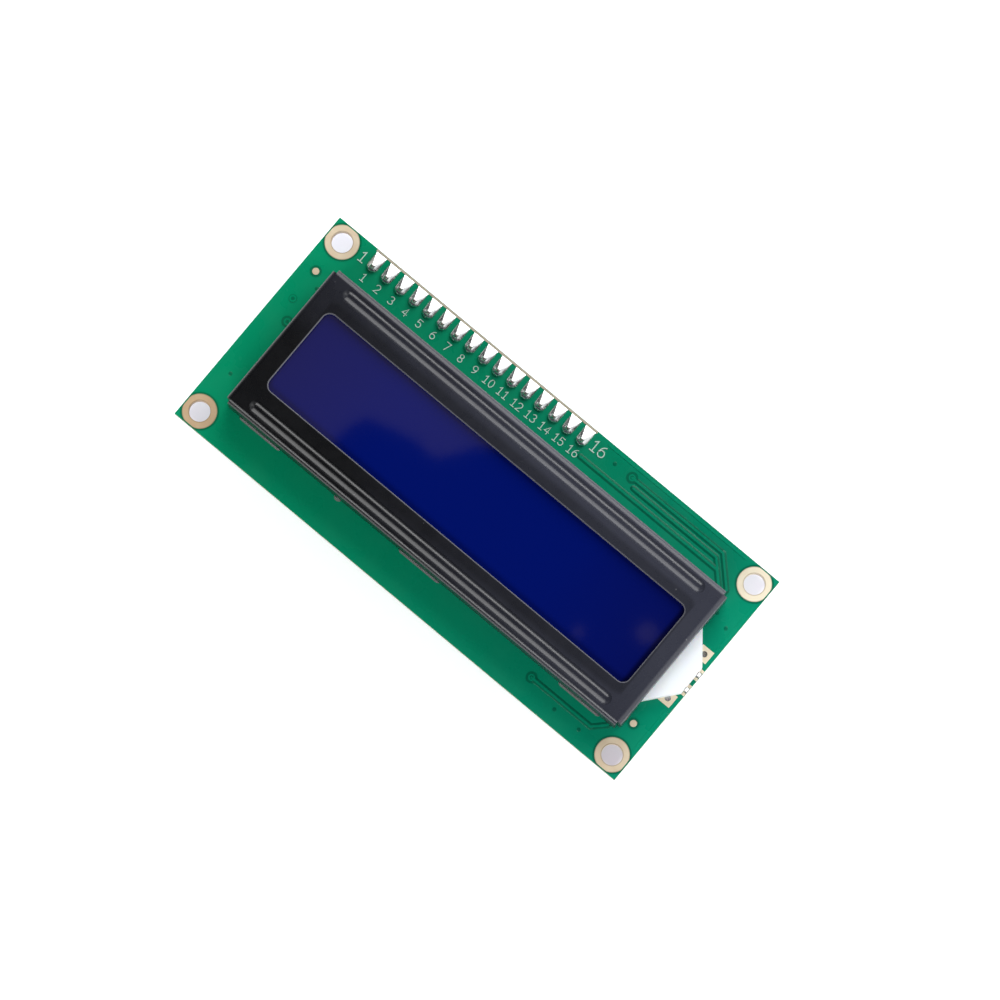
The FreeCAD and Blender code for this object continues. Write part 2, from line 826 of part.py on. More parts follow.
def expander_leads():
    """Gull-wing leads on both long sides of the chip."""
    middle = chip_standoff + chip_body_height / 2
    start = chip_body_width / 2
    knee = start + lead_shoulder
    foot_z = lead_thickness / 2
    points = ((start, middle), (knee, middle), (knee, foot_z), (knee + lead_foot, foot_z))
    lead = on_edge(bent_strip(points, lead_bend, lead_thickness, lead_width, False))
    leads = []
    for i in range(chip_leads_a_side):
        y = (i - (chip_leads_a_side - 1) / 2) * chip_lead_pitch
        leads.append(moved(lead, 0, y))
        leads.append(moved(spun(lead, 180), 0, y))
    across = last_pin_across + chip_along
    return [on_back(moved(item, across, header_y - chip_down), adapter_z) for item in leads]


def transistor():
    """Small transistor body and its three leads, two on one side and one on the other."""
    middle = (chip_standoff + transistor_height) / 2
    body = block(0, 0, transistor_length, transistor_width, chip_standoff, transistor_height)
    body = body.makeChamfer(chip_standoff, top_edges(body, transistor_height))
    start = transistor_width / 2
    knee = start + lead_bend
    foot_z = lead_thickness / 4
    points = ((start, middle), (knee, middle), (knee, foot_z), (knee + transistor_lead_reach, foot_z))
    lead = on_edge(bent_strip(points, lead_thickness / 2, lead_thickness / 2, transistor_lead_width, False))
    single = spun(lead, 90)
    pair = spun(lead, -90)
    half = transistor_lead_spacing / 2
    leads = [single, moved(pair, -half, 0), moved(pair, half, 0)]
    across = last_pin_across + transistor_along
    y = header_y - transistor_down
    turned = [on_back(moved(item, across, y), adapter_z) for item in [body] + leads]
    return turned[0], turned[1:]


def link_solder():
    """Solder domes on the backlight link, with the plugs that fill its holes."""
    joints = []
    for x, y in link_places():
        joint = solder_drop(x, y, link_radius, link_height)
        joint = joint.fuse(many_sided_bar(x, y, pin_hole_radius, -adapter_thickness, 0))
        joints.append(on_back(joint, adapter_z))
    return joints


def trimmer_housing():
    """Trimmer housing: a cup on four feet with a round bore under a lip, open at its back."""
    top = trimmer_foot + trimmer_height
    body = block(0, 0, trimmer_length, trimmer_width, trimmer_foot, top)
    upright = [e for e in body.Edges if e.BoundBox.ZLength > trimmer_height / 2]
    body = body.makeChamfer(trimmer_edge, upright)
    body = body.makeChamfer(trimmer_edge / 2, top_edges(body, top))
    for x in (-1, 1):
        for y in (-1, 1):
            foot_x = x * (trimmer_length - trimmer_foot_size) / 2
            foot_y = y * (trimmer_width - 2 * trimmer_foot_size) / 2
            body = body.fuse(block(foot_x, foot_y, trimmer_foot_size, trimmer_foot_size, 0, trimmer_foot))
    base_top = trimmer_foot + trimmer_base
    inner = block(0, 0, trimmer_length - trimmer_base, trimmer_width - trimmer_base, trimmer_foot, base_top)
    well = rod(0, 0, collar_radius + rotor_play, base_top, top - rotor_lip)
    bore = rod(0, 0, rotor_radius + rotor_play, top - rotor_lip, top)
    body = body.cut(inner).cut(well).cut(bore).removeSplitter()
    return on_back(moved(body, trimmer_across, trimmer_y), adapter_z)


def trimmer_base_plate():
    """Ceramic plate that closes the housing's back and carries the rotor."""
    length = trimmer_length - trimmer_base
    width = trimmer_width - trimmer_base
    plate = block(0, 0, length, width, trimmer_foot, trimmer_foot + trimmer_base)
    return on_back(moved(plate, trimmer_across, trimmer_y), adapter_z)


def trimmer_rotor():
    """Rotor with a collar under the housing's lip and a cross slot for a screwdriver."""
    top = trimmer_foot + trimmer_height
    base_top = trimmer_foot + trimmer_base
    face = top - rotor_recess
    rotor = rod(0, 0, collar_radius, base_top, top - rotor_lip - rotor_play)
    rotor = rotor.fuse(rod(0, 0, rotor_radius, top - rotor_lip - rotor_play, face))
    cross = block(0, 0, slot_length, slot_width, face - slot_depth, face)
    cross = cross.fuse(block(0, 0, slot_width, slot_length, face - slot_depth, face))
    rotor = rotor.cut(spun(cross, slot_turn)).removeSplitter()
    return on_back(moved(rotor, trimmer_across, trimmer_y), adapter_z)


def trimmer_terminals():
    """Three terminal pins from the base plate through the adapter, with their solder joints."""
    pins = []
    joints = []
    top = -adapter_thickness
    for x, y in terminal_places():
        pin = many_sided_bar(x, y, terminal_radius, top - terminal_drop, trimmer_foot)
        crest = top - terminal_solder_height
        joint = many_sided_cone(x, y, terminal_radius, solder_pad_radius, crest, top)
        joint = joint.fuse(many_sided_bar(x, y, terminal_hole_radius, top, 0))
        pins.append(pin)
        joints.append(joint.cut(pin))
    return [on_back(p, adapter_z) for p in pins], [on_back(j, adapter_z) for j in joints]


def serial_housing():
    """Housing of the serial header, flat on the adapter at its far end."""
    strip = header_housing_units(serial_count, 0, False)
    return on_back(moved(strip, serial_across, serial_ys()[-1]), adapter_z)


def serial_pin():
    """One serial pin: up through the housing, bent over it and out past the adapter's end."""
    bend_z = housing_height + serial_bend_radius
    foot_z = -adapter_thickness - serial_leg_drop
    reach = adapter_far_across - serial_across + serial_overhang
    points = ((0, foot_z), (0, bend_z), (reach, bend_z))
    pin = on_edge(bent_strip(points, serial_bend_radius, pin_size, pin_size))
    tip = pointed(2 * pitch, pin_size, pin_tip)
    leg = moved(tip, 0, 0, foot_z)
    tip.rotate(V(0, 0, 0), V(0, 1, 0), 90)
    end = moved(tip, reach - 2 * pitch, 0, bend_z)
    trim_leg = box(-pin_size, pin_size, -pin_size, pin_size, foot_z, foot_z + pin_tip)
    trim_end = box(reach - pin_tip, reach, -pin_size, pin_size, bend_z - pin_size, bend_z + pin_size)
    pin = pin.cut(trim_leg).cut(trim_end)
    return pin.fuse([leg.common(trim_leg), end.common(trim_end)]).removeSplitter()


def serial_pins_and_solder():
    """The four serial pins, and their joints on the side of the adapter that faces the main board."""
    pin = serial_pin()
    under = pin.copy()
    under.translate(V(0, 0, adapter_thickness))
    under.rotate(V(0, 0, 0), V(0, 1, 0), 180)
    joint = solder_joint(under, adapter_thickness)
    joint.rotate(V(0, 0, 0), V(0, 1, 0), 180)
    joint.translate(V(0, 0, -adapter_thickness))
    pins = [on_back(moved(pin, serial_across, y), adapter_z) for y in serial_ys()]
    joints = [on_back(moved(joint, serial_across, y), adapter_z) for y in serial_ys()]
    return pins, joints


def contact_strip(side):
    """Rubber contact strip between the board and the front glass, along one long wall."""
    y = bezel_y + side * (inner_width / 2 - fit_clearance - strip_width / 2)
    return block(bezel_x, y, strip_length, strip_width, 0, rear_glass_z)


def save(name, shape):
    """Write one sub-part, a solid or a group of like solids."""
    shape = Part.makeCompound(shape) if isinstance(shape, list) else shape
    shape.exportStep("parts/" + name + ".step")


def drop(values, face_z):
    """Epoxy drop from its across, up, radius and height."""
    across, up, radius, height = values
    return on_back(epoxy_drop(across, up, radius, height), face_z)


def main():
    """Build every sub-part and write it."""
    os.makedirs("parts", exist_ok=True)
    save("main_board", main_board())
    save("bezel", bezel())
    save("backlight_tray", backlight_tray())
    save("reflector_film", guide_plate(tray_floor, reflector_z))
    save("light_guide", guide_plate(reflector_z, guide_z))
    save("diffuser_film", diffuser_film())
    save("backlight_led", backlight_led())
    leads = backlight_leads()
    save("backlight_leads", leads)
    save("backlight_solder", backlight_solder(leads))

    rear_width = tray_width
    save("rear_polarizer", block(bezel_x, bezel_y, glass_length, rear_width, diffuser_z, rear_polarizer_z))
    save("rear_glass", block(bezel_x, bezel_y, glass_length, rear_width, rear_polarizer_z, rear_glass_z))
    save("front_glass", block(bezel_x, bezel_y, glass_length, glass_width, rear_glass_z, front_glass_z))
    front_z = front_glass_z + polarizer_thickness
    save("front_polarizer", block(
        bezel_x, bezel_y, front_polarizer_length, front_polarizer_width, front_glass_z, front_z
    ))
    save("contact_strip_header_side", contact_strip(1))
    save("contact_strip_far_side", contact_strip(-1))

    save("driver_epoxy_left", drop(epoxy_left, back_z))
    save("driver_epoxy_right", drop(epoxy_right, back_z))
    save("main_resistors", main_resistors())
    bridge = solder_drop(bridge_across, bridge_y, bridge_radius, bridge_height)
    save("solder_bridge", on_back(bridge, back_z))

    pin = header_pin()
    save("header_housing", header_housing())
    for number, x in enumerate(header_xs(), 1):
        save("header_pin_%02d" % number, moved(pin, x, header_y))
    fronts, backs = header_solder(pin)
    save("header_solder_front", fronts)
    save("header_solder_back", backs)

    save("adapter_board", adapter_board())
    save("expander_chip", expander_chip())
    save("expander_leads", expander_leads())
    body, transistor_leads = transistor()
    save("transistor_body", body)
    save("transistor_leads", transistor_leads)
    save("adapter_resistors", adapter_resistors())
    save("adapter_capacitor", adapter_capacitor())
    save("power_led", power_led())
    save("link_solder", link_solder())

    save("trimmer_housing", trimmer_housing())
    save("trimmer_base", trimmer_base_plate())
    save("trimmer_rotor", trimmer_rotor())
    terminals, terminal_solder = trimmer_terminals()
    save("trimmer_terminals", terminals)
    save("trimmer_solder", terminal_solder)

    save("serial_housing", serial_housing())
    serial_pins, serial_solder = serial_pins_and_solder()
    for number, item in enumerate(serial_pins, 1):
        save("serial_pin_%d" % number, item)
    save("serial_solder", serial_solder)


main()
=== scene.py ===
import math

import bpy
import numpy as np
from bpy.props import FloatProperty, FloatVectorProperty, PointerProperty
from mathutils import Matrix, Vector


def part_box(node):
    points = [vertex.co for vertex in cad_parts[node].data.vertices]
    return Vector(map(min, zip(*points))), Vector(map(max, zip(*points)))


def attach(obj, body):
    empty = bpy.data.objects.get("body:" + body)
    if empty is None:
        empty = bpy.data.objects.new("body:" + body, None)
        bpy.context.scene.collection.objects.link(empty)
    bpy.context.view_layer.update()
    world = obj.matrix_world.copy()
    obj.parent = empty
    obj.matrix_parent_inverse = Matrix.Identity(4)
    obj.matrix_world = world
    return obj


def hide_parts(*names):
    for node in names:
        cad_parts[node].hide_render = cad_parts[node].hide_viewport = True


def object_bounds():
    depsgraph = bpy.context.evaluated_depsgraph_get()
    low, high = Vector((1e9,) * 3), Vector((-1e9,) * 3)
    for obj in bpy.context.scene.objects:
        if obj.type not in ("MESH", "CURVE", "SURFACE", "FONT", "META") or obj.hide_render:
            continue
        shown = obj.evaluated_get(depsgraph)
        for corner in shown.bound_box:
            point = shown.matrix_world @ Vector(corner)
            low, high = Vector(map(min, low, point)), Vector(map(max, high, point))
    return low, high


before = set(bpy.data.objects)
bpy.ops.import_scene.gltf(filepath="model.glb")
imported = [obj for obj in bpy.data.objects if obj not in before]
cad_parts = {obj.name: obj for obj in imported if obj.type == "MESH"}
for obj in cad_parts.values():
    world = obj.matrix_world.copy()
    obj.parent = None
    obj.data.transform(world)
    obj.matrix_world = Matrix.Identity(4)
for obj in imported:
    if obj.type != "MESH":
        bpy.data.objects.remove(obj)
cad_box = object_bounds()

bl_info = {
    "name": "Character Display Module",
    "version": (1, 0, 0),
    "blender": (4, 5, 0),
    "location": "View3D > Sidebar > Display Module",
    "description": "Finishes, copper, print and solder for a character display module with a serial adapter",
    "category": "Add Mesh",
}

# Lengths below are in millimetres, with the module's own origin and axes. Pieces on the back are drawn
# as seen from behind: across to the right, up, and height measured out from the board's back face.
MM = 0.001
BOARD_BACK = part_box("main_board")[0].z / MM
ADAPTER_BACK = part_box("adapter_board")[0].z / MM
BOARD_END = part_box("main_board")[1].x / MM
BOARD_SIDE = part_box("main_board")[1].y / MM
WINDOW = (0.38, -0.55, 64.9, 13.8, 1.2)  # middle, length, width and corner radius of the bezel's window
MOUNT_X, MOUNT_Y = 37.5, 15.5
MOUNT_HOLE, MOUNT_PAD = 1.55, 2.47
MOUNTS = [(x, y) for x in (-MOUNT_X, MOUNT_X) for y in (-MOUNT_Y, MOUNT_Y)]
SINK = -0.01  # flat pieces begin just under the face that they lie on
GAP_TOP = 0.008
RING_TOP = 0.012
RIM = 0.02  # what rings round the mounting holes keep from the board's edge
SHARP = math.radians(40)
FRONT, BACK, ADAPTER = "front", "back", "adapter"
FACES = {FRONT: (1, 0.0), BACK: (-1, BOARD_BACK), ADAPTER: (-1, ADAPTER_BACK)}


def middle(node):
    """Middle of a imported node's box, in millimetres."""
    return [(low + high) / 2 / MM for low, high in zip(*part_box(node))]


PIN_XS = [middle(f"header_pin_{i + 1:02d}")[0] for i in range(16)]
PIN_ROW = middle("header_pin_01")[1]


# Settings that a user would change

def colour(label, words, value):
    return FloatVectorProperty(name=label, description=words, subtype="COLOR", size=3, min=0.0, max=1.0,
                               default=value)


def length(label, words, millimetres):
    return FloatProperty(name=label, description=words, subtype="DISTANCE", unit="LENGTH", min=0.0,
                         default=millimetres * MM)


def light_power(label, words, watts):
    return FloatProperty(name=label, description=words, unit="POWER", default=watts)


class BoardSettings(bpy.types.PropertyGroup):
    """Colours and heights of the green board, its copper and its print."""
    mask: colour("Mask", "Solder mask towards the header", (0.0, 0.255, 0.118))
    mask_far: colour("Mask, far end", "Solder mask towards the backlight's end", (0.001, 0.226, 0.125))
    mask_back: colour("Mask, back", "Solder mask on the back", (0.0, 0.232, 0.084))
    fine: colour("Fine traces", "Mask over the thinnest traces on the back", (0.022, 0.33, 0.135))
    laminate: colour("Laminate", "Cut edge of the board", (0.30, 0.30, 0.16))
    copper: colour("Front pads", "Gold plated pads on the front", (0.62, 0.44, 0.265))
    # Painted reflection: the front pads brighten towards this colour at the corner by the header and the
    # backlight.
    copper_far: colour("Front pads, far corner", "Pads by the header and the backlight", (1.0, 0.90, 0.69))
    back_copper: colour("Back pads", "Gold plated pads on the back", (0.385, 0.205, 0.078))
    # Painted reflection: the back pads brighten towards this colour at the backlight's end.
    back_copper_far: colour("Back pads, far end", "Pads towards the backlight's end", (0.55, 0.37, 0.21))
    ink: colour("Print", "White print on the boards", (0.80, 0.83, 0.81))
    thin_ink: colour("Thin print", "Thinner print on the front", (0.52, 0.66, 0.58))
    trace_height: length("Trace height", "How far a covered trace stands up", 0.035)
    pad_height: length("Pad height", "How far a pad stands up", 0.045)
    ink_height: length("Print height", "Thickness of the print", 0.02)


class DisplaySettings(bpy.types.PropertyGroup):
    """Colours of the display cell and its bezel."""
    film: colour("Film", "Dark blue of the front film", (0.0004, 0.0045, 0.100))
    film_end: colour("Film at the ends", "Blue towards the window's ends", (0.0016, 0.0040, 0.077))
    paint: colour("Bezel paint", "Black paint on the bezel", (0.0020, 0.0022, 0.0032))
    # Painted reflection: the grey-blue sheen that the bezel's paint takes towards the backlight's end.
    paint_worn: colour("Bezel paint, handled", "Paint towards the backlight's end", (0.030, 0.032, 0.046))


class AdapterSettings(bpy.types.PropertyGroup):
    """Colours of the serial adapter's board and parts."""
    mask: colour("Mask", "Black solder mask", (0.0040, 0.0037, 0.0040))
    housing: colour("Trimmer", "Blue plastic of the trimmer", (0.002, 0.19, 0.93))
    moulding: colour("Moulding", "Dark moulding of the chip", (0.032, 0.032, 0.037))


class SolderSettings(bpy.types.PropertyGroup):
    """Shape and colour of the solder."""
    metal: colour("Solder", "Colour of the solder", (0.74, 0.74, 0.73))
    cone_height: length("Cone height", "How far solder climbs a header pin", 0.95)


class StageSettings(bpy.types.PropertyGroup):
    """Floor and lights."""
    floor: colour("Floor", "Pale floor", (0.86, 0.86, 0.87))
    floor_light: colour("Floor, light end", "Floor in the holes at the header's end", (0.90, 0.875, 0.98))
    floor_shade: colour("Floor, dark end", "Floor in the holes at the backlight's end", (0.61, 0.53, 0.62))
    floor_gap: length("Floor gap", "Space between the lowest point and the floor", 0.05)
    key: light_power("Key light", "Light from the header's side", 21.3)
    fill: light_power("Fill light", "Light from the other side", 14.0)
    side: light_power("Side light", "Light from the backlight's end", 3.2)
    under: light_power("Under light", "Light for views from below", 15.0)


# Shapes: each is a pair of arrays, corner points and faces, that is joined into a piece

def skin(rings, loop=False):
    """Surface over closed rings of points, all with as many points.

    Point j of each ring is joined to point j of the next and to point j + 1 of its own ring. The last ring
    is joined back to the first if loop is true. Otherwise a fan to its middle closes each end ring.
    """
    rings = np.asarray(rings, float)
    count, sides = rings.shape[:2]
    index = np.arange(count * sides).reshape(count, sides)
    here = index if loop else index[:-1]
    after = np.roll(index, -1, 0) if loop else index[1:]
    quads = np.stack([here, np.roll(here, -1, 1), np.roll(after, -1, 1), after], -1).reshape(-1, 4)
    points = rings.reshape(-1, 3)
    fans = np.empty((0, 3), int)
    if not loop:
        points = np.vstack([points, rings[0].mean(0), rings[-1].mean(0)])
        first, last = index[0], index[-1]
        low = np.stack([np.roll(first, -1), first, np.full(sides, count * sides)], -1)
        high = np.stack([last, np.roll(last, -1), np.full(sides, count * sides + 1)], -1)
        fans = np.vstack([low, high])
    return points, quads, fans


def joined(shapes):
    """All shapes as one: their points in a row, and their faces counted on from the points before."""
    starts = np.cumsum([0] + [len(s[0]) for s in shapes[:-1]])
    quads, fans = (np.vstack([s[kind] + n for s, n in zip(shapes, starts)]) for kind in (1, 2))
    return np.vstack([s[0] for s in shapes]), quads, fans


GOLDEN = (5 ** 0.5 - 1) / 2


def layered(shapes, span=0.018):
    """The same shapes, each lifted by its own part of a span, so that no two crossing tops share a plane.

    The lifts step by the golden section, so that shapes made one after the other stay well apart.
    """
    lifted = []
    for i, (points, quads, fans) in enumerate(shapes):
        rise = np.where(points[:, 2:] > 0, span * (GOLDEN * i % 1.0), 0.0)
        lifted.append((points + rise * (0, 0, 1), quads, fans))
    return lifted


def at_height(outline, z):
    """Ring of points: an outline in the plane, at a height or at one height for each point."""
    outline = np.asarray(outline, float)
    return np.column_stack([outline, np.broadcast_to(z, len(outline))])


def circle(x, y, radius, sides=32):
    """Outline: points at equal angles round a centre."""
    turn = np.linspace(0, 2 * np.pi, sides, endpoint=False)
    return np.column_stack([x + radius * np.cos(turn), y + radius * np.sin(turn)])


def rounded(x, y, width, height, radius, steps=4):
    """Outline: a rectangle whose corners are quarter circles of one radius."""
    turn = np.linspace(0, np.pi / 2, steps)
    corners = []
    for i, (sx, sy) in enumerate(((1, 1), (-1, 1), (-1, -1), (1, -1))):
        angle = turn + i * np.pi / 2
        corners.append(np.column_stack([
            x + sx * (width / 2 - radius) + radius * np.cos(angle),
            y + sy * (height / 2 - radius) + radius * np.sin(angle),
        ]))
    return np.vstack(corners)


def plate(outline, z1, z0=SINK, edge=0.0):
    """Plate on an outline between two heights, its top corners cut by edge towards the outline's middle."""
    outline = np.asarray(outline, float)
    rings = [at_height(outline, z0), at_height(outline, z1 - edge)]
    if edge:
        middle = outline.mean(0)
        away = outline - middle
        reach = np.abs(away).max(0)
        rings.append(at_height(middle + away * (1 - edge / reach), z1))
    return skin(rings)


def kept_circle(x, y, radius, margin):
    """Outline: a circle that is kept inside the board's edge by a margin."""
    limit = np.array([BOARD_END, BOARD_SIDE]) - margin
    return np.clip(circle(x, y, radius, 48), -limit, limit)


def eyelet(x, y, hole, pad, wall, margin):
    """Plated hole of the board: a ring pad on both faces, joined by a thin tube in the hole.

    The section is a closed C of one wall's thickness, turned about the hole's axis.
    """
    low = BOARD_BACK
    section = ((pad, 0), (pad, wall), (hole - wall, wall), (hole - wall, low - wall), (pad, low - wall),
               (pad, low), (hole, low), (hole, 0))
    return skin([at_height(kept_circle(x, y, radius, margin), z) for radius, z in section], loop=True)


def pierced(outline, hole, z1, z0=SINK):
    """Plate with a hole between two heights: both outlines have as many points, in the same turn."""
    sides = ((outline, z0), (outline, z1), (hole, z1), (hole, z0))
    return skin([at_height(side, z) for side, z in sides], loop=True)


def ring_plate(x, y, inner, outer, z1, sides=32):
    """Flat ring on a face."""
    return pierced(circle(x, y, outer, sides), circle(x, y, inner, sides), z1)


def mounting_rings(inner, outer):
    """Flat rings round the four mounting holes, just inside the board's edge."""
    return [pierced(kept_circle(x, y, outer, RIM), kept_circle(x, y, inner, RIM), RING_TOP)
            for x, y in MOUNTS]


BAND_TOP = 0.86  # share of a band's width that its top has


def band(path, width, z1, z0=SINK, round_ends=True, loop=False):
    """Flat band along a path: at each point, a low four-cornered section at right angles to the path.

    At a corner the section lies along the two runs' shared mitre. A round end is made of sections before the
    first point, and after the last, whose width follows a half circle.
    """
    path = np.asarray(path, float)
    half = width / 2
    if loop:
        runs = np.roll(path, -1, 0) - path
    else:
        runs = np.diff(path, axis=0)
        runs = np.vstack([runs, runs[-1]])
    runs = runs / np.linalg.norm(runs, axis=1, keepdims=True)
    normals = np.column_stack([-runs[:, 1], runs[:, 0]])
    before = np.roll(normals, 1, 0)
    if not loop:
        before[0] = normals[0]
    both = normals + before
    mitre = both / np.maximum((normals * both).sum(1, keepdims=True), 0.35)
    widths = np.full(len(path), half)
    if round_ends and not loop:
        swing = np.radians([12, 40, 65])
        start = path[0] - runs[0] * (half * np.cos(swing))[:, None]
        end = path[-1] + runs[-1] * (half * np.cos(swing))[::-1, None]
        path = np.vstack([start, path, end])
        mitre = np.vstack([np.repeat(normals[:1], 3, 0), mitre, np.repeat(normals[-1:], 3, 0)])
        widths = np.concatenate([half * np.sin(swing), widths, half * np.sin(swing)[::-1]])
    offset = mitre * widths[:, None]
    sides = ((1, z0), (BAND_TOP, z1), (-BAND_TOP, z1), (-1, z0))
    return skin(np.stack([at_height(path + offset * share, z) for share, z in sides], 1), loop)


def runs(path, width, z1):
    """One band with round ends for each run of a path: they cover its corners however sharp these are."""
    return [band(pair, width, z1) for pair in zip(path, path[1:])]


def bow(x, y, rx, ry, start, end, steps=9):
    """Points on part of an ellipse, from one angle to another, in degrees."""
    turn = np.radians(np.linspace(start, end, steps))
    return np.column_stack([x + rx * np.cos(turn), y + ry * np.sin(turn)])


SIX = [bow(0.3, 0.3, 0.3, 0.3, 180, 540, 15), bow(0.56, 0.3, 0.56, 0.7, 180, 104, 7)]
STROKES = {
    "0": [bow(0.3, 0.5, 0.3, 0.5, 90, 450, 19)],
    "1": [[(0.08, 0.8), (0.32, 1), (0.32, 0)], [(0.08, 0), (0.56, 0)]],
    "2": [np.vstack([bow(0.3, 0.7, 0.3, 0.3, 165, -38, 10), [(0, 0), (0.62, 0)]])],
    "3": [np.vstack([bow(0.28, 0.76, 0.27, 0.24, 150, -88, 9), bow(0.28, 0.26, 0.32, 0.26, 82, -150, 11)])],
    "4": [[(0.46, 0), (0.46, 1), (0, 0.3), (0.64, 0.3)]],
    "5": [np.vstack([[(0.56, 1), (0.06, 1), (0.03, 0.55)], bow(0.28, 0.32, 0.31, 0.32, 118, -145, 10)])],
    "6": SIX,
    "7": [[(0, 1), (0.6, 1), (0.2, 0)]],
    "8": [bow(0.3, 0.76, 0.24, 0.24, 90, 450, 15), bow(0.3, 0.26, 0.3, 0.26, 90, 450, 15)],
    "9": [np.array([0.6, 1.0]) - stroke for stroke in SIX],
    "+": [[(0, 0.5), (0.7, 0.5)], [(0.35, 0.15), (0.35, 0.85)]],
    "-": [[(0, 0.5), (0.7, 0.5)]],
}


def number(text, x, y, height, z1, weight=0.15, spread=0.9):
    """Plotted figures centred on x and y: a band of one width along each stroke of each figure."""
    step = height * spread
    start = x - step * (len(text) - 1) / 2
    shapes = []
    for i, mark in enumerate(text):
        for stroke in STROKES[mark]:
            points = (np.asarray(stroke, float) - (0.31, 0.5)) * height + (start + i * step, y)
            shapes.append(band(points, weight * height, z1))
    return shapes


def dome(x, y, radius, height, base=-0.02, power=2.0, sides=40, steps=9, sway=0.0, seed=0):
    """Drop on a flat face: the height falls from the middle as (1 - share ** power) ** 0.5.

    The rim's radius sways by a few slow waves, whose phases come from the seed.
    """
    rng = np.random.default_rng(seed)
    turn = np.linspace(0, 2 * np.pi, sides, endpoint=False)
    rim = np.full(sides, float(radius))
    for waves in (2, 3, 5):
        rim += radius * sway / waves * np.sin(waves * turn + rng.uniform(0, 2 * np.pi))
    share = np.sin(np.linspace(np.pi / 2, 0.06, steps))
    rim = np.column_stack([rim * np.cos(turn), rim * np.sin(turn)])
    rings = [at_height(rim + (x, y), base)]
    rings += [at_height(s * rim + (x, y), height * (1 - s ** power) ** 0.5) for s in share]
    return skin(rings)


def slope(outline, height, top, hollow=1.7, base=-0.02, steps=8):
    """Mound on an outline that shrinks to the top share of itself while it rises as share ** hollow."""
    outline = np.asarray(outline, float)
    middle = outline.mean(0)
    rings = [at_height(outline, base)]
    for share in np.linspace(0, 1, steps):
        shrunk = middle + (outline - middle) * (1 - (1 - top) * share)
        rings.append(at_height(shrunk, height * share ** hollow))
    return skin(rings)


def chip(x, y, length, width, height, upright, end=0.32):
    """Chip part on a face: its body, its dark film and its metal ends with their solder, as three lists."""
    def outline(along, run, thick, *corner):
        place = (x, y + along) if upright else (x + along, y)
        size = (thick, run) if upright else (run, thick)
        return rounded(*place, *size, *corner)

    def box(along, run, thick, z0, z1):
        return plate(outline(along, run, thick, 0.05, 3), z1, z0, 0.03)

    body = [box(0, length - 0.1, width - 0.06, 0.02, height - 0.05)]
    film = [box(0, length - 2 * end, width - 0.1, height - 0.07, height - 0.01)]
    ends = []
    for side in (-1, 1):
        ends.append(box(side * (length - end) / 2, end, width, 0.0, height))
        foot = outline(side * (length / 2 + 0.12), 0.5, width * 1.05, 0.1)
        ends.append(slope(foot, height * 0.55, 0.35, 1.3, steps=5))
    return body, film, ends


def turned_over(points, face):
    """Points drawn on a face, in the module's own frame: a face seen from behind is turned about up."""
    side, level = FACES[face]
    return points * (side, 1, side) + (0, 0, level)

def placed(name, data):
    """New object in the scene."""
    item = bpy.data.objects.new(name, data)
    bpy.context.scene.collection.objects.link(item)
    return item


def make_piece(name, shapes, finish, face=FRONT, replaced=(), others=()):
    """New object from shapes, smooth but for edges sharper than 40 degrees, riding on the module.

    Others are pairs of shapes and finish that join the same object after the first.
    """
    groups = [joined(group) for group in (shapes, *(pair[0] for pair in others))]
    points, quads, fans = joined(groups)
    points = turned_over(points, face) * MM
    mesh = bpy.data.meshes.new(name)
    mesh.vertices.add(len(points))
    mesh.vertices.foreach_set("co", points.astype(np.float32).ravel())
    corners = np.concatenate([quads.ravel(), fans.ravel()]).astype(np.int32)
    mesh.loops.add(len(corners))
    mesh.loops.foreach_set("vertex_index", corners)
    starts = np.concatenate([np.arange(len(quads)) * 4, len(quads) * 4 + np.arange(len(fans)) * 3])
    mesh.polygons.add(len(starts))
    mesh.polygons.foreach_set("loop_start", starts.astype(np.int32))
    order = [np.full(len(group[kind]), i) for kind in (1, 2) for i, group in enumerate(groups)]
    mesh.polygons.foreach_set("material_index", np.concatenate(order).astype(np.int32))
    mesh.update(calc_edges=True)
    mesh.shade_smooth()
    mesh.set_sharp_from_angle(angle=SHARP)
    for key in (finish, *(pair[1] for pair in others)):
        mesh.materials.append(FINISHES[key])
    piece = placed(name, mesh)
    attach(piece, "module")
    if replaced:
        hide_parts(*replaced)


# Finishes: node materials that read Object coordinates, in metres

NOISE_RANGE = (0.3, 0.7)  # most values of a noise


class Signal:
    """One output of a node tree: arithmetic and comparisons on it add math nodes to the tree."""

    def __init__(self, nodes, socket):
        self.nodes = nodes
        self.socket = socket

    def __add__(self, other):
        return self.nodes.math("ADD", self, other)

    def __sub__(self, other):
        return self.nodes.math("SUBTRACT", self, other)

    def __mul__(self, other):
        return self.nodes.math("MULTIPLY", self, other)

    def __abs__(self):
        return self.nodes.math("ABSOLUTE", self)

    def __lt__(self, other):
        return self.nodes.math("LESS_THAN", self, other)

    def __gt__(self, other):
        return self.nodes.math("GREATER_THAN", self, other)


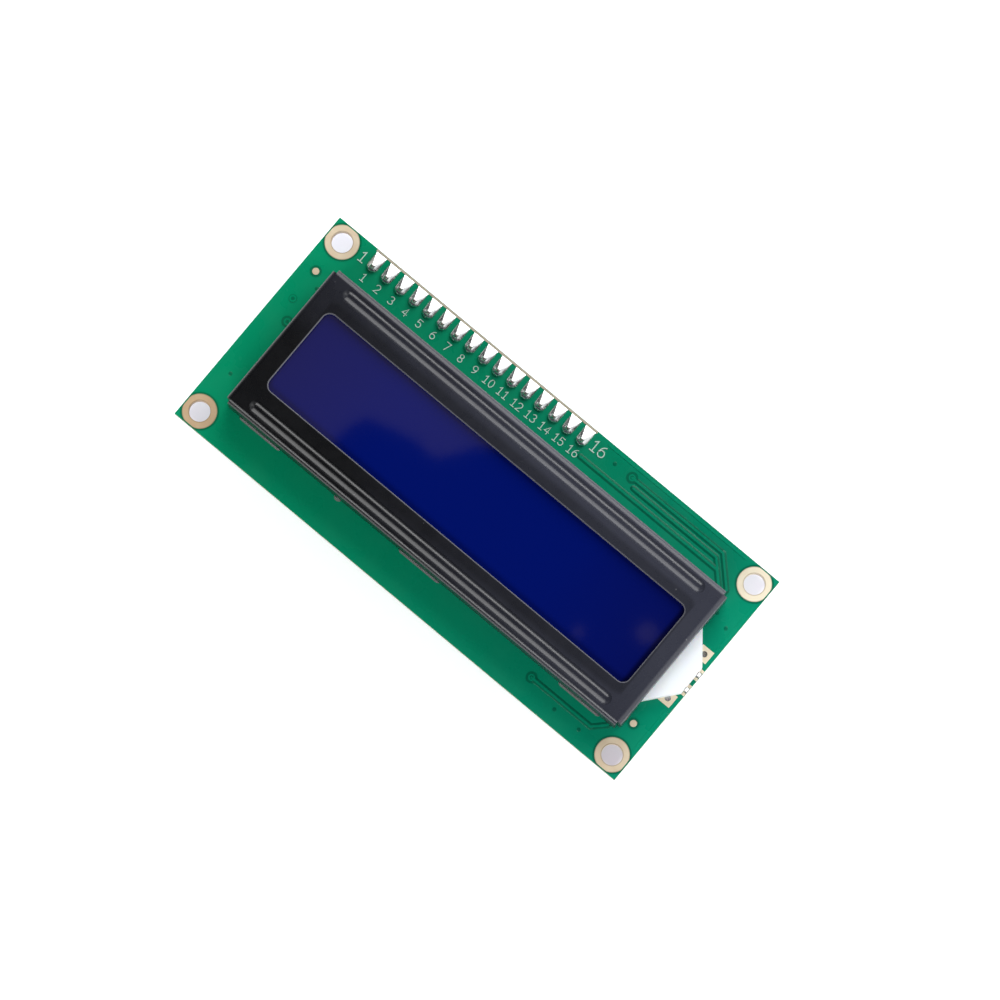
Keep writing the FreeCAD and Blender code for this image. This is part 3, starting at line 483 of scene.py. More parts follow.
class Nodes:
    """A node tree with helpers for patterns. Sizes of patterns are in millimetres, places in metres."""

    def __init__(self, tree):
        self.tree = tree
        self.place = self.node("TexCoord")

    def put(self, socket, value):
        """Sets an input socket, or links it to a signal. Three numbers are a colour."""
        if isinstance(value, Signal):
            self.tree.links.new(value.socket, socket)
        else:
            socket.default_value = (*value, 1.0) if hasattr(value, "__len__") else value

    def node(self, kind, inputs=None, **settings):
        made = self.tree.nodes.new(f"ShaderNode{kind}")
        for key, value in settings.items():
            setattr(made, key, value)
        for key, value in (inputs or {}).items():
            self.put(made.inputs[key], value)
        return made

    def signal(self, kind, inputs=None, output=0, **settings):
        """One output of a new node, by its place in the row or its name."""
        return Signal(self, self.node(kind, inputs, **settings).outputs[output])

    def point(self, source):
        return Signal(self, self.place.outputs[source])

    def part(self, axis, source="Object"):
        """One coordinate of the point, or one part of its normal."""
        return self.signal("SeparateXYZ", {0: self.point(source)}, axis)

    def facing_up(self):
        """1 where the surface looks up, 0 on walls and -1 where it looks down."""
        return self.part("Z", "Normal")

    def math(self, operation, first, second=0.0, third=0.0):
        return self.signal("Math", {0: first, 1: second, 2: third}, operation=operation)

    def ramp(self, value, low, high, to_low=0.0, to_high=1.0):
        """Value stretched so that low becomes to_low and high becomes to_high, kept between them."""
        inputs = {"Value": value, "From Min": low, "From Max": high, "To Min": to_low, "To Max": to_high}
        return self.signal("MapRange", inputs, interpolation_type="SMOOTHSTEP")

    def mix(self, share, first, second):
        """Colour between two colours."""
        return self.signal("Mix", {0: share, 6: first, 7: second}, 2, data_type="RGBA")

    def noise(self, size, detail=3.0):
        """Noise whose patches are about size millimetres wide, from 0 to 1."""
        inputs = {"Vector": self.point("Object"), "Scale": 1 / (size * MM), "Detail": detail}
        return self.signal("TexNoise", inputs)

    def drift(self, size, detail, swing):
        """Noise about zero, over a swing."""
        return self.math("MULTIPLY_ADD", self.noise(size, detail), swing, -swing / 2)

    def mottled(self, base, size, low, high):
        """Colour that wanders between two shades of a base."""
        return self.mix(self.noise(size), shade(base, low), shade(base, high))

    def diagonal(self, along, across):
        """A half at the origin, growing by one in so many millimetres along X and in so many along Y."""
        share = self.math("MULTIPLY_ADD", self.part("X"), 1 / (along * MM), 0.5)
        return self.math("MULTIPLY_ADD", self.part("Y"), 1 / (across * MM), share)

    def beyond(self, axis, middle, half):
        """How far the point is beyond half a width from a middle, in metres."""
        return abs(self.part(axis) - middle * MM) - half * MM

    def distance(self, x, y):
        """Length of the way whose two parts are x and y."""
        return self.math("SQRT", x * x + y * y)


class Finish(Nodes):
    """A node material under construction, with a principled shader."""

    def __init__(self, name, base, roughness, metallic=0.0, **sockets):
        self.material = bpy.data.materials.new(name)
        self.material.use_nodes = True
        super().__init__(self.material.node_tree)
        self.shader = self.tree.nodes["Principled BSDF"]
        self.set("Base Color", base)
        self.set("Roughness", roughness)
        self.set("Metallic", metallic)
        for key, value in sockets.items():
            self.set(key.replace("_", " ").title().replace("Ior", "IOR"), value)

    def set(self, socket, value):
        self.put(self.shader.inputs[socket], value)

    def uneven_gloss(self, size, low, high, detail=3.0):
        """Roughness that wanders between two values."""
        self.set("Roughness", self.ramp(self.noise(size, detail), *NOISE_RANGE, low, high))

    def bump(self, height, depth):
        """Small relief: depth is the height in millimetres that 1 stands for."""
        self.set("Normal", self.signal("Bump", {"Height": height, "Distance": depth * MM}))


def shade(base, factor):
    """A colour made darker or lighter by a factor."""
    return tuple(min(1.0, c * factor) for c in base)


def plain_finish(name, base, roughness, metallic=0.0, patch=1.5, contrast=0.12, grain=0.15, depth=0.004,
                 **sockets):
    """Finish with slow colour patches, a little change of gloss and a fine grain."""
    finish = Finish(name, base, roughness, metallic, **sockets)
    finish.set("Base Color", finish.mottled(base, patch, 1 - contrast, 1 + contrast))
    finish.uneven_gloss(patch * 0.6, roughness * 0.85, roughness * 1.15)
    finish.bump(finish.noise(grain), depth)
    return finish.material


def print_finish(name, base, contrast):
    """Matt white print."""
    return plain_finish(name, base, 0.6, patch=0.5, contrast=contrast, depth=0.006)


MASK_GLOSS = 0.3
LOOKS_DOWN = -0.3  # a face looks down where its normal's Z is less
WALL = 0.5  # a face is a cut wall where its normal's Z is less, up or down


def green_mask(name, base, lighter, under, edge):
    """Green solder mask: uneven thickness, lighter towards one end, and the laminate's colour on cut walls.

    Under is its colour on faces that look down.
    """
    finish = Finish(name, base, MASK_GLOSS, specular_ior_level=0.2)
    patches = finish.drift(9.0, 4.0, 0.5)
    share = finish.ramp(finish.part("X"), -40 * MM, 45 * MM) + patches
    front = finish.mix(share, shade(base, 0.92), lighter)
    back = finish.mix(patches + 0.5, shade(under, 0.92), shade(under, 1.08))
    mask = finish.mix(finish.facing_up() < LOOKS_DOWN, front, back)
    fibre = finish.mottled(edge, 0.35, 0.75, 1.2)
    finish.set("Base Color", finish.mix(abs(finish.facing_up()) < WALL, mask, fibre))
    finish.uneven_gloss(5.0, 0.8 * MASK_GLOSS, 1.2 * MASK_GLOSS)
    finish.bump(finish.noise(0.6), 0.006)
    return finish.material


def black_mask(name, base):
    """Black solder mask with a faint weave, and pale laminate on its cut walls."""
    finish = Finish(name, base, MASK_GLOSS, specular_ior_level=0.3)
    mask = finish.mottled(base, 4.0, 1.2, 2.2)
    fibre = finish.mix(finish.noise(0.35), (0.16, 0.14, 0.10), (0.27, 0.25, 0.19))
    finish.set("Base Color", finish.mix(abs(finish.facing_up()) < WALL, mask, fibre))
    finish.bump(finish.noise(0.5), 0.006)
    return finish.material


def painted_steel(name, base, worn):
    """Black paint on the stamped bezel, with orange peel, a few pale specks and a pale rim round the window.

    A painted reflection drifts it from black at one corner to grey-blue at the other, and painted shade
    keeps it darker along the window's long sides. The rim is the bare cut edge with a painted highlight on
    it. It follows the window: it is where the distance to the window's rounded outline is small.
    """
    finish = Finish(name, base, 0.27, specular_ior_level=0.45)
    x, y, width, height, corner = WINDOW
    over = [finish.beyond("X", x, width / 2 - corner), finish.beyond("Y", y, height / 2 - corner)]
    outside = [finish.math("MAXIMUM", part, 0.0) for part in over]
    inside = finish.math("MINIMUM", finish.math("MAXIMUM", *over), 0.0)
    distance = finish.distance(*outside) + inside
    # Pale rim round the window: the bare cut edge, with a painted highlight on it.
    rim = finish.ramp(distance, (corner + 0.10) * MM, (corner + 0.20) * MM, 1.0, 0.0)
    # Painted reflection: the share of grey-blue sheen grows towards the backlight's end and the header's
    # side.
    sheen = finish.diagonal(68, 33) + finish.drift(7.0, 5.0, 0.3)
    sheen = finish.math("MINIMUM", finish.math("MAXIMUM", sheen, 0.0), 1.0)
    # Painted shade: less sheen, so darker paint, along the window's long sides; the window's ends keep their
    # sheen.
    sides = finish.ramp(distance, (corner + 1.1) * MM, (corner + 2.1) * MM, 0.62, 1.1)
    ends = finish.ramp(over[0], corner * MM, (corner + 0.6) * MM, 0.0, 1.1)
    # The paint goes from black towards the painted reflection's grey-blue, by the sheen share.
    paint = finish.mix(sheen * finish.math("MAXIMUM", sides, ends), base, worn)
    specks = finish.ramp(finish.noise(0.45, 1.0), 0.80, 0.84)
    paint = finish.mix(specks, paint, (0.12, 0.12, 0.13))
    finish.set("Base Color", finish.mix(rim, paint, (0.11, 0.11, 0.125)))
    finish.uneven_gloss(1.6, 0.26, 0.30, 4.0)
    finish.bump(finish.noise(0.5, 1.0), 0.0004)
    return finish.material


def display_film(name, base, end):
    """Glossy front film over the blue cell: the blue drifts towards violet at the window's ends."""
    finish = Finish(name, base, 0.027, specular_ior_level=0.2)
    share = finish.ramp(abs(finish.part("X")), 12 * MM, 36 * MM) + finish.drift(12.0, 2.0, 0.4)
    # Painted shadow of the bezel's edge: the film darkens at the window's end by the backlight.
    bezel_shadow = finish.ramp(finish.part("X"), 31.8 * MM, 32.5 * MM)
    finish.set("Base Color", finish.mix(bezel_shadow, finish.mix(share, base, end), shade(end, 0.35)))
    finish.bump(finish.noise(1.5, 1.0), 0.0002)
    return finish.material


def solder_metal(name, base):
    """Bright solder: slow waves in its skin and darker flux in patches."""
    gloss = 0.22
    finish = Finish(name, base, gloss, 1.0)
    dull = finish.ramp(finish.noise(0.8, 4.0), 0.55, 0.8)
    finish.set("Base Color", finish.mix(dull, base, shade(base, 0.72)))
    finish.set("Roughness", finish.ramp(finish.noise(0.6, 2.0), 0.35, 0.7, 0.85 * gloss, 1.3 * gloss))
    finish.bump(finish.noise(0.8, 1.0), 0.002)
    return finish.material


TAB_PADS_REACH = 12.5  # the tab pads are nearer to the board's middle line than this


def gold_pad(name, near, far, under_near, under_far):
    """Gold plated pad, softly brushed and partly metal, with a brown rim round each mounting hole.

    Near and far are its colours at two opposite corners of the front, between which a painted reflection
    brightens the pads. The under pair is for faces that look down, at the plain end and at the backlight's
    end, with a painted reflection between them too; the tab pads get painted light, lighter copies of them.
    """
    finish = Finish(name, far, 0.38, 0.35)
    patches = finish.drift(1.8, 4.0, 0.5)
    # Painted reflection: the front colour grows from near to far across the board.
    front = finish.mix(finish.diagonal(4 * MOUNT_X, 4 * MOUNT_Y) + patches, near, far)
    # Painted reflection on the back: the pads brighten towards the backlight's end.
    back = finish.ramp(finish.part("X"), -30 * MM, 40 * MM) + patches
    pads = finish.mix(back, under_near, under_far)
    # Painted light: the tab pads get lighter copies of the back colours, against the shade of the adapter.
    tab_pads = finish.mix(back, shade(under_near, 1.6), shade(under_far, 1.25))
    inside = abs(finish.part("Y")) < TAB_PADS_REACH * MM
    under = finish.mix(inside, pads, tab_pads)
    tint = finish.mix(finish.facing_up() < LOOKS_DOWN, front, under)
    # Darker brown at each mounting pad's outer edge and round its hole.
    away = [abs(finish.part(axis)) - place * MM for axis, place in (("X", MOUNT_X), ("Y", MOUNT_Y))]
    radius = finish.distance(*away)
    outer = finish.ramp(radius, 2.30 * MM, 2.46 * MM) * (radius < 2.7 * MM)
    inner = finish.ramp(radius, 1.56 * MM, 1.68 * MM, 1.0, 0.0)
    worn = finish.math("MAXIMUM", outer, inner) * 0.5
    finish.set("Base Color", finish.mix(worn, tint, (0.25, 0.15, 0.07)))
    finish.bump(finish.noise(0.22, 3.0), 0.004)
    return finish.material


DIAL_STEP = math.radians(27)
DIAL_DOT = (-20.45, 5.55)


def trimmer_blue(name, base):
    """Blue plastic whose face has a dial of tick grooves, darkened by painted shade, and one white dot.

    A tick is where the turn about the rotor, in steps, is close to a whole number, between two radii.
    """
    finish = Finish(name, base, 0.36, specular_ior_level=0.3)
    x, y = (finish.part(axis) - place * MM for axis, place in zip("XY", middle("trimmer_rotor")))
    radius = finish.distance(x, y)
    turn = finish.math("DIVIDE", finish.math("ARCTAN2", x, y), DIAL_STEP)
    nearest = finish.math("ROUND", turn)
    off = abs(turn - nearest) * DIAL_STEP * radius
    fifth = finish.math("PINGPONG", abs(nearest), 2.5)
    reach = finish.ramp(fifth, 0.4, 0.6, 2.95 * MM, 2.55 * MM)
    groove = finish.ramp(off, 0.06 * MM, 0.10 * MM, 1.0, 0.0) * (radius > 1.95 * MM) * (radius < reach)
    groove = groove * (abs(turn) < 5.3) * (finish.facing_up() < -0.5)
    # Painted shade: the tick grooves are darker blue.
    face = finish.mix(groove, finish.mottled(base, 1.5, 0.94, 1.06), shade(base, 0.38))
    to_dot = [finish.part(axis) - place * MM for axis, place in zip("XY", DIAL_DOT)]
    dot = finish.distance(*to_dot) < 0.28 * MM
    finish.set("Base Color", finish.mix(dot, face, (0.85, 0.9, 0.95)))
    finish.bump(finish.noise(0.15) * 0.06 - groove, 0.08)
    return finish.material


def rotor_grey(name, base):
    """Pale rotor whose slot floor, below the face, gets painted shade in dark grey."""
    finish = Finish(name, base, 0.33)
    # Painted shade in the rotor's slot: dark grey where the surface lies back from the face.
    painted_shade_zone = finish.part("Z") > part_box("trimmer_rotor")[0].z + 0.1 * MM
    finish.set("Base Color", finish.mix(painted_shade_zone, finish.mottled(base, 0.7, 0.9, 1.1), (0.10, 0.10, 0.125)))
    finish.bump(finish.noise(0.15), 0.004)
    return finish.material


# Finishes without a setting: name, colour, roughness, share of metal, and what differs from a plain finish
PLAIN_FINISHES = {
    "edge_copper": ("worn_edge_copper", (0.46, 0.41, 0.31), 0.5, 0.2, {"patch": 0.8, "contrast": 0.2}),
    "display_glass": ("display_glass", (0.25, 0.32, 0.34), 0.05, 0.0,
                      {"depth": 0.0002, "transmission_weight": 0.6}),
    "white_plastic": ("white_backlight_plastic", (0.87, 0.87, 0.90), 0.38, 0.0,
                      {"patch": 6.0, "contrast": 0.03, "subsurface_weight": 0.15, "subsurface_scale": MM}),
    "clear_plastic": ("clear_light_guide", (0.85, 0.88, 0.90), 0.12, 0.0,
                      {"patch": 6.0, "contrast": 0.03, "transmission_weight": 0.5}),
    "tinned_metal": ("tinned_pins", (0.72, 0.71, 0.69), 0.24, 1.0, {"patch": 0.8, "contrast": 0.10}),
    "dull_pad": ("dull_pads", (0.56, 0.45, 0.42), 0.4, 0.4, {"patch": 0.5, "contrast": 0.25}),
    "contact_rubber": ("contact_rubber", (0.50, 0.02, 0.07), 0.55, 0.0, {"patch": 1.0, "contrast": 0.2}),
    "black_epoxy": ("black_epoxy", (0.032, 0.032, 0.037), 0.42, 0.0,
                    {"patch": 3.0, "contrast": 0.45, "grain": 0.3, "depth": 0.03}),
    "resistor_ceramic": ("resistor_ceramic", (0.62, 0.62, 0.60), 0.5, 0.0, {"patch": 0.5}),
    "resistor_film": ("resistor_film", (0.022, 0.021, 0.022), 0.35, 0.0, {"patch": 0.5}),
    "capacitor_ceramic": ("capacitor_ceramic", (0.47, 0.22, 0.10), 0.45, 0.0, {"patch": 0.4}),
    "black_plastic": ("black_header_plastic", (0.014, 0.014, 0.015), 0.42, 0.0,
                      {"patch": 1.2, "contrast": 0.25, "depth": 0.01}),
    "led_resin": ("led_resin", (0.86, 0.87, 0.82), 0.3, 0.0,
                  {"patch": 0.4, "contrast": 0.05, "subsurface_weight": 0.2, "subsurface_scale": 0.0005}),
    "base_ceramic": ("base_ceramic", (0.78, 0.77, 0.74), 0.5, 0.0, {}),
}
FINISHES = {}


def settings():
    return bpy.context.scene.display_module


class MODULE_OT_finishes(bpy.types.Operator):
    """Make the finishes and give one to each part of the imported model."""
    bl_idname = "display_module.finishes"
    bl_label = "Finishes"

    def execute(self, context):
        look = settings()
        board = look.board
        masks = (board.mask, board.mask_far, board.mask_back)
        made = FINISHES
        for key, (name, base, roughness, metallic, other) in PLAIN_FINISHES.items():
            made[key] = plain_finish(name, base, roughness, metallic, **other)
        made["green_board"] = green_mask("green_mask", *masks, board.laminate)
        for key, share in (("bare_mask", 0.58), ("trace_mask", 1.05)):
            tones = [shade(tone, share) for tone in masks]
            made[key] = green_mask(f"green_{key}", *tones, tones[0])
        made["fine_mask"] = green_mask("mask_over_fine_traces", *[board.fine] * 4)
        pads = (board.copper, board.copper_far, board.back_copper, board.back_copper_far)
        made["copper"] = gold_pad("gold_pads", *pads)
        made["ink"] = print_finish("white_print", board.ink, 0.07)
        made["thin_ink"] = print_finish("thin_white_print", board.thin_ink, 0.1)
        made["black_paint"] = painted_steel("black_bezel_paint", look.display.paint, look.display.paint_worn)
        made["display_film"] = display_film("blue_display_film", look.display.film, look.display.film_end)
        made["solder"] = solder_metal("bright_solder", look.solder.metal)
        made["black_board"] = black_mask("black_mask", look.adapter.mask)
        made["chip_moulding"] = plain_finish("chip_moulding", look.adapter.moulding, 0.55, patch=2.0,
                                             grain=0.09, depth=0.012)
        made["blue_plastic"] = trimmer_blue("blue_trimmer_plastic", look.adapter.housing)
        made["rotor_plastic"] = rotor_grey("rotor_plastic", (0.60, 0.57, 0.53))
        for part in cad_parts.values():
            slot = part.material_slots[0].material.name.split(".")[0]
            part.data.materials.clear()
            part.data.materials.append(made[slot])
        return {"FINISHED"}


LEAD_PADS = ((38.4, 3.5), (38.4, -4.45))
LEAD_HOLE = 0.45
LOCATING_DOTS = ((-37.7, 10.0), (37.0, -10.25))
NOTCH_YS = [middle("backlight_leads")[1] + side * 1.35 for side in (-1, 1)]


def lead_pad(x, y, height):
    """Square pad with the hole of a backlight's lead."""
    return pierced(rounded(x, y, 2.0, 2.0, 0.05, 8), circle(x, y, LEAD_HOLE), height)


def front_pads():
    """Front pads: plated mounting holes, locating dots, lead pads and notch pads."""
    height = settings().board.pad_height / MM
    shapes = [eyelet(x, y, MOUNT_HOLE, MOUNT_PAD, height, 0.2) for x, y in MOUNTS]
    shapes += [plate(circle(x, y, 0.5), height) for x, y in LOCATING_DOTS]
    shapes += [lead_pad(x, y, height) for x, y in LEAD_PADS]
    shapes += [plate(rounded(39.67, y + side * 0.68, 0.6, 0.46, 0.05), height)
               for y in NOTCH_YS for side in (-1, 1)]
    return shapes


class MODULE_OT_front_copper(bpy.types.Operator):
    """Gold pads on the board's front with the header's edge strip, and bare laminate round them."""
    bl_idname = "display_module.front_copper"
    bl_label = "Front pads"

    def execute(self, context):
        height = settings().board.pad_height / MM
        run = PIN_XS[-1] - PIN_XS[0] + 2.1
        outline = rounded((PIN_XS[0] + PIN_XS[-1]) / 2, BOARD_SIDE - 0.18, run, 0.3, 0.02)
        make_piece("front_pads", front_pads(), "copper",
                   others=[([plate(outline, height)], "edge_copper")])
        plugs = [plate(circle(x, y, LEAD_HOLE - 0.01), 0.02) for x, y in LEAD_PADS]
        make_piece("lead_hole_plugs", plugs, "tinned_metal")
        rings = mounting_rings(2.4, 2.75)
        rings += [ring_plate(x, y, 0.48, 0.85, RING_TOP) for x, y in LOCATING_DOTS]
        make_piece("front_pad_gaps", rings, "bare_mask")
        return {"FINISHED"}


FRONT_TRACES = (
    ((14.9, 16.05), (31.4, 16.05), (35.05, 12.4), (35.05, 11.2)),
    ((16.0, 15.0), (31.0, 15.0), (34.0, 12.0), (34.0, 11.2)),
    ((7.4, 13.7), (32.2, 13.7), (34.2, 11.7)),
    ((22.0, -14.4), (32.7, -14.4), (34.4, -12.7), (34.4, -11.6)),
)
EDGE_TRACES = (
    ((9.6, 17.5), (34.4, 17.5)),
    ((39.45, 12.9), (39.45, 5.0)),
    ((39.45, -6.0), (39.45, -12.9)),
)
FRONT_HOLES = ((14.9, 16.05, 0.85), (22.0, -14.4, 0.85), (-36.2, 2.0, 0.85), (-37.7, 5.0, 0.6))
FRONT_DOTS = ((-36.0, 8.2), (-37.6, -8.7), (11.8, 16.0), (36.1, 9.1), (38.4, 8.2), (27.3, -15.8),
              (31.7, -15.8))


class MODULE_OT_front_traces(bpy.types.Operator):
    """Traces under the front's mask, each in a darker gap, and the covered holes."""
    bl_idname = "display_module.front_traces"
    bl_label = "Front traces"

    def execute(self, context):
        height = settings().board.trace_height / MM
        gaps = sum((runs(path, 0.95, GAP_TOP) for path in FRONT_TRACES), [])
        traces = [band(path, 0.34, height) for path in FRONT_TRACES + EDGE_TRACES]
        for x, y, radius in FRONT_HOLES:
            gaps.append(plate(circle(x, y, radius), 0.011))
            traces.append(ring_plate(x, y, 0.28, 0.5, height, 24))
        gaps += [dome(x, y, 0.3, RING_TOP, SINK, sides=20, steps=4) for x, y in FRONT_DOTS]
        make_piece("front_trace_gaps", layered(gaps), "bare_mask")
        make_piece("front_traces", layered(traces), "trace_mask")
        return {"FINISHED"}


def print_top():
    """Height of print on the board's mask, over a covered trace."""
    return (settings().board.trace_height + settings().board.ink_height) / MM


class MODULE_OT_front_print(bpy.types.Operator):
    """Plain numbers printed on the front, one under each header pin and one at each end of the row."""
    bl_idname = "display_module.front_print"
    bl_label = "Front print"

    def execute(self, context):
        top = print_top()
        shapes = []
        for i, x in enumerate(PIN_XS):
            shapes += number(str(i + 1), x, 13.6, 1.15, top, 0.115, 0.85)
        shapes += number("1", -33.9, 15.8, 1.55, top, 0.10)
        shapes += number("16", 8.75, 16.15, 1.65, top, 0.10, 0.8)
        make_piece("front_print", layered(shapes), "thin_ink")
        return {"FINISHED"}


def front_joint(x):
    """Front solder joint, a surface of two parameters: the turn about the pin and the share of the way out.

    The way out ends on a teardrop: a half ellipse on the display's side, straight flanks, and a straight end
    at the board's edge. The height falls from the pin as (1 - share) ** power. The power is under 1 on the
    display's side, which gives a bulging flank, and a little over 1 towards the edge.
    """
    solder = settings().solder
    sides, steps = 48, 14
    inmost = 0.16
    reach = circle(0, 0, 1, sides)
    half, inner, outer = 0.94, 0.76, BOARD_SIDE - PIN_ROW - 0.34
    flank = half / np.maximum(np.abs(reach[:, 0]), 1e-6)
    edge = outer / np.maximum(reach[:, 1], 1e-6)
    ellipse = 1 / np.sqrt((reach[:, 0] / half) ** 2 + (reach[:, 1] / inner) ** 2)
    rim = np.where(reach[:, 1] < 0, ellipse, np.minimum(flank, edge))
    power = 0.85 + 0.30 * reach[:, 1]
    rings = [np.column_stack([rim[:, None] * reach, np.full(sides, -0.02)])]
    for share in np.linspace(1, inmost, steps):
        height = solder.cone_height / MM * (1 - share) ** power + 0.08 * (1 - share ** 12)
        rings.append(np.column_stack([reach * (rim * share)[:, None], height]))
    points, quads, fans = skin(rings)
    return points + (x, PIN_ROW, 0), quads, fans


class MODULE_OT_header_solder(bpy.types.Operator):
    """Solder of the sixteen header pins on both boards."""
    bl_idname = "display_module.header_solder"
    bl_label = "Header solder"

    def execute(self, context):
        height = settings().solder.cone_height / MM
        front = [front_joint(x) for x in PIN_XS]
        make_piece("header_solder_front_joints", front, "solder", replaced=["header_solder_front"])
        back = [slope(circle(-x, PIN_ROW, 0.86, 28), height, 0.42) for x in PIN_XS]
        make_piece("header_solder_back_joints", back, "solder", ADAPTER, ["header_solder_back"])
        return {"FINISHED"}


# The board's back, drawn as seen from behind

VIA_ROW = -12.4
VIA_STEP = 1.27


def wide_traces():
    """Widths and paths of the wide traces on the back. Each path starts at a covered hole or a pad."""
    return [
        (1.0, [(-22.5, 13.7), (-34.6, 13.7), (-37.2, 11.1), (-37.2, 4.6)]),
        (0.8, [(-17.4, 13.5), (-7.8, 13.5)]),
        (0.5, [(-15.1, 16.0), (-12.9, 13.8), (-7.8, 13.8)]),
        (0.5, [(-33.3, 7.2), (-33.3, 5.4), (-34.0, 4.7), (-34.0, 2.0), (-33.2, 1.2)]),
        (0.5, [(-24.3, -1.8), (-24.3, -13.4), (-22.2, -15.5), (33.4, -15.5), (36.4, -12.5), (36.4, -7.6),
               (34.9, -6.1), (34.9, 3.8), (34.2, 4.5)]),
        (0.5, [(-22.2, -14.4), (32.0, -14.4), (34.6, -11.8), (34.6, -8.8), (33.7, -7.9), (29.4, -7.9)]),
        (0.5, [(36.1, 1.9), (36.1, 5.0), (34.9, 6.2), (34.2, 6.2)]),
    ]


def fine_traces():
    """Paths of the fine traces on the back. Each starts at a covered hole, and families run side by side."""
    paths = [
        [(-15.4, 7.05), (-16.75, 7.05), (-17.25, 7.55), (-19.8, 7.55), (-20.3, 7.05), (-20.3, 1.1),
         (-18.98, -0.22), (-18.98, -1.67), (-17.76, -2.89), (-16.9, -2.89)],
        [(-9.0, -4.4), (-11.6, -4.4)],
        [(5.6, VIA_ROW), (5.6, -9.4), (7.4, -7.6), (7.4, -6.6)],
        [(6.9, VIA_ROW), (6.9, -9.0), (8.4, -7.5), (8.4, -6.4)],
        [(8.1, VIA_ROW), (8.1, -10.4), (8.7, -9.8), (8.7, -8.4)],
        [(-23.4, VIA_ROW), (-23.4, -11.4), (-20.4, -8.4), (-12.4, -8.4)],
        [(-22.1, VIA_ROW), (-22.1, -11.2), (-19.7, -8.8), (-12.0, -8.8)],
        [(-20.9, VIA_ROW), (-20.9, -11.5), (-18.6, -9.2), (-11.6, -9.2)],
    ]
    for i in range(6):
        y, cut = 7.25 - 0.73 * i, 1.6 - 0.27 * i
        lane, turn = -24.65 + 0.45 * i, 1.8 + 0.14 * i
        fall, row = -20.9 + 0.32 * i, -4.75 + 0.31 * i
        slant = -23.35 + 0.45 * i
        paths.append([(-21.7 - 0.75 * (i % 2), y), (lane + cut, y), (lane, y - cut), (lane, turn),
                      (fall, turn + lane - fall), (fall, slant - fall), (slant - row, row), (-14.2, row)])
    for i in range(9):
        y, row = -2.2 - 0.69 * i, -5.5 - 0.31 * i
        reach = -10.8 + 0.5 * i
        paths.append([(-22.3 - 0.9 * (i % 2), y), (-21.6, y), (-21.6 + y - row, row), (reach, row),
                      (reach - row - 2.5, -2.5)])
    for i in range(7):
        x = -13.3 + VIA_STEP * i
        rise = -11.3 + 0.42 * i
        paths.append([(x, VIA_ROW), (x, rise), (x + 2.1 - 0.12 * i, rise + 2.1 - 0.12 * i)])
    for i in range(6):
        x, row = 17.1 + VIA_STEP * i, -10.3 + 0.36 * i
        paths.append([(x, VIA_ROW), (x, row - 0.9), (x - 0.9, row), (15.6 + 0.3 * i, row),
                      (12.4 + 0.3 * i, row + 3.2)])
    for x, y in ((19.0, -4.6), (18.25, -5.4), (19.0, -6.1), (18.25, -6.8), (19.0, -7.5)):
        paths.append([(x, y), (x - 1.2, y), (x - 2.4, y + 1.2)])
    for x, y in ((-4.05, -4.6), (-3.25, -3.95), (-2.6, -4.9), (-1.9, -3.9), (-1.3, -4.6)):
        paths.append([(x, y), (x, y + 0.5), (x + 1.4, y + 1.9)])
    for i, y in enumerate((-3.95, -4.6, -5.9, -6.8, -7.9, -8.7)):
        x = 5.4 - 0.95 * (i % 2)
        paths.append([(x, y), (x + 0.6, y), (x + 1.3, y + 0.7)])
    for x, y in ((9.4, -8.5), (10.25, -8.1), (11.1, -7.8), (12.1, -7.6), (13.1, -8.0)):
        paths.append([(x, y), (x, y + 1.6)])
    return paths


BACK_SEAMS = (
    [(-34.7, -16.5), (33.0, -16.5)],
    [(-30.6, -7.2), (-29.6, -8.2), (-24.9, -8.2)],
)
BACK_DOTS = ((-36.1, 9.1), (-38.4, 8.2), (-33.1, -4.5), (-31.7, -15.8), (-27.3, -15.8), (-16.6, -13.2),
             (37.4, -8.9), (-11.9, 15.9), (-27.7, -4.5))
GOLD_VIAS = ((-17.6, 6.75), (-16.7, 6.1), (-17.9, 4.25), (-18.2, 3.35))
EMPTY_PADS_Y = (3.65, 2.4, 1.15, -0.15)
TAB_XS = (-29.0, 0.0, 29.0)
END_PADS = ((-36.0, 0.7), (-36.0, -1.9))
SINGLE_PADS = ((-36.0, -10.2), (37.5, 10.0))


def back_rectangles():
    """Gold rectangles on the back: middle across and up, width and height."""
    rectangles = [(-x, 17.0, 1.8, 1.9) for x in PIN_XS]
    for x in TAB_XS:
        rectangles += [(x, 9.3, 7.1, 2.6), (x, -10.2, 7.1, 2.6)]
    for y in EMPTY_PADS_Y:
        rectangles += [(-32.0, y, 2.0, 0.62), (-26.2, y, 2.0, 0.62)]
    for y in (-2.65, -6.15):
        rectangles += [(-31.2, y, 1.6, 1.35), (-28.95, y, 1.5, 1.35)]
    for x in (-29.1, -26.7):
        rectangles += [(x - 0.42, 5.6, 0.62, 1.4), (x + 0.42, 5.6, 0.62, 1.4)]
    return rectangles + [(21.85, -6.05, 0.8, 0.9), (23.45, -6.05, 0.8, 0.9)]


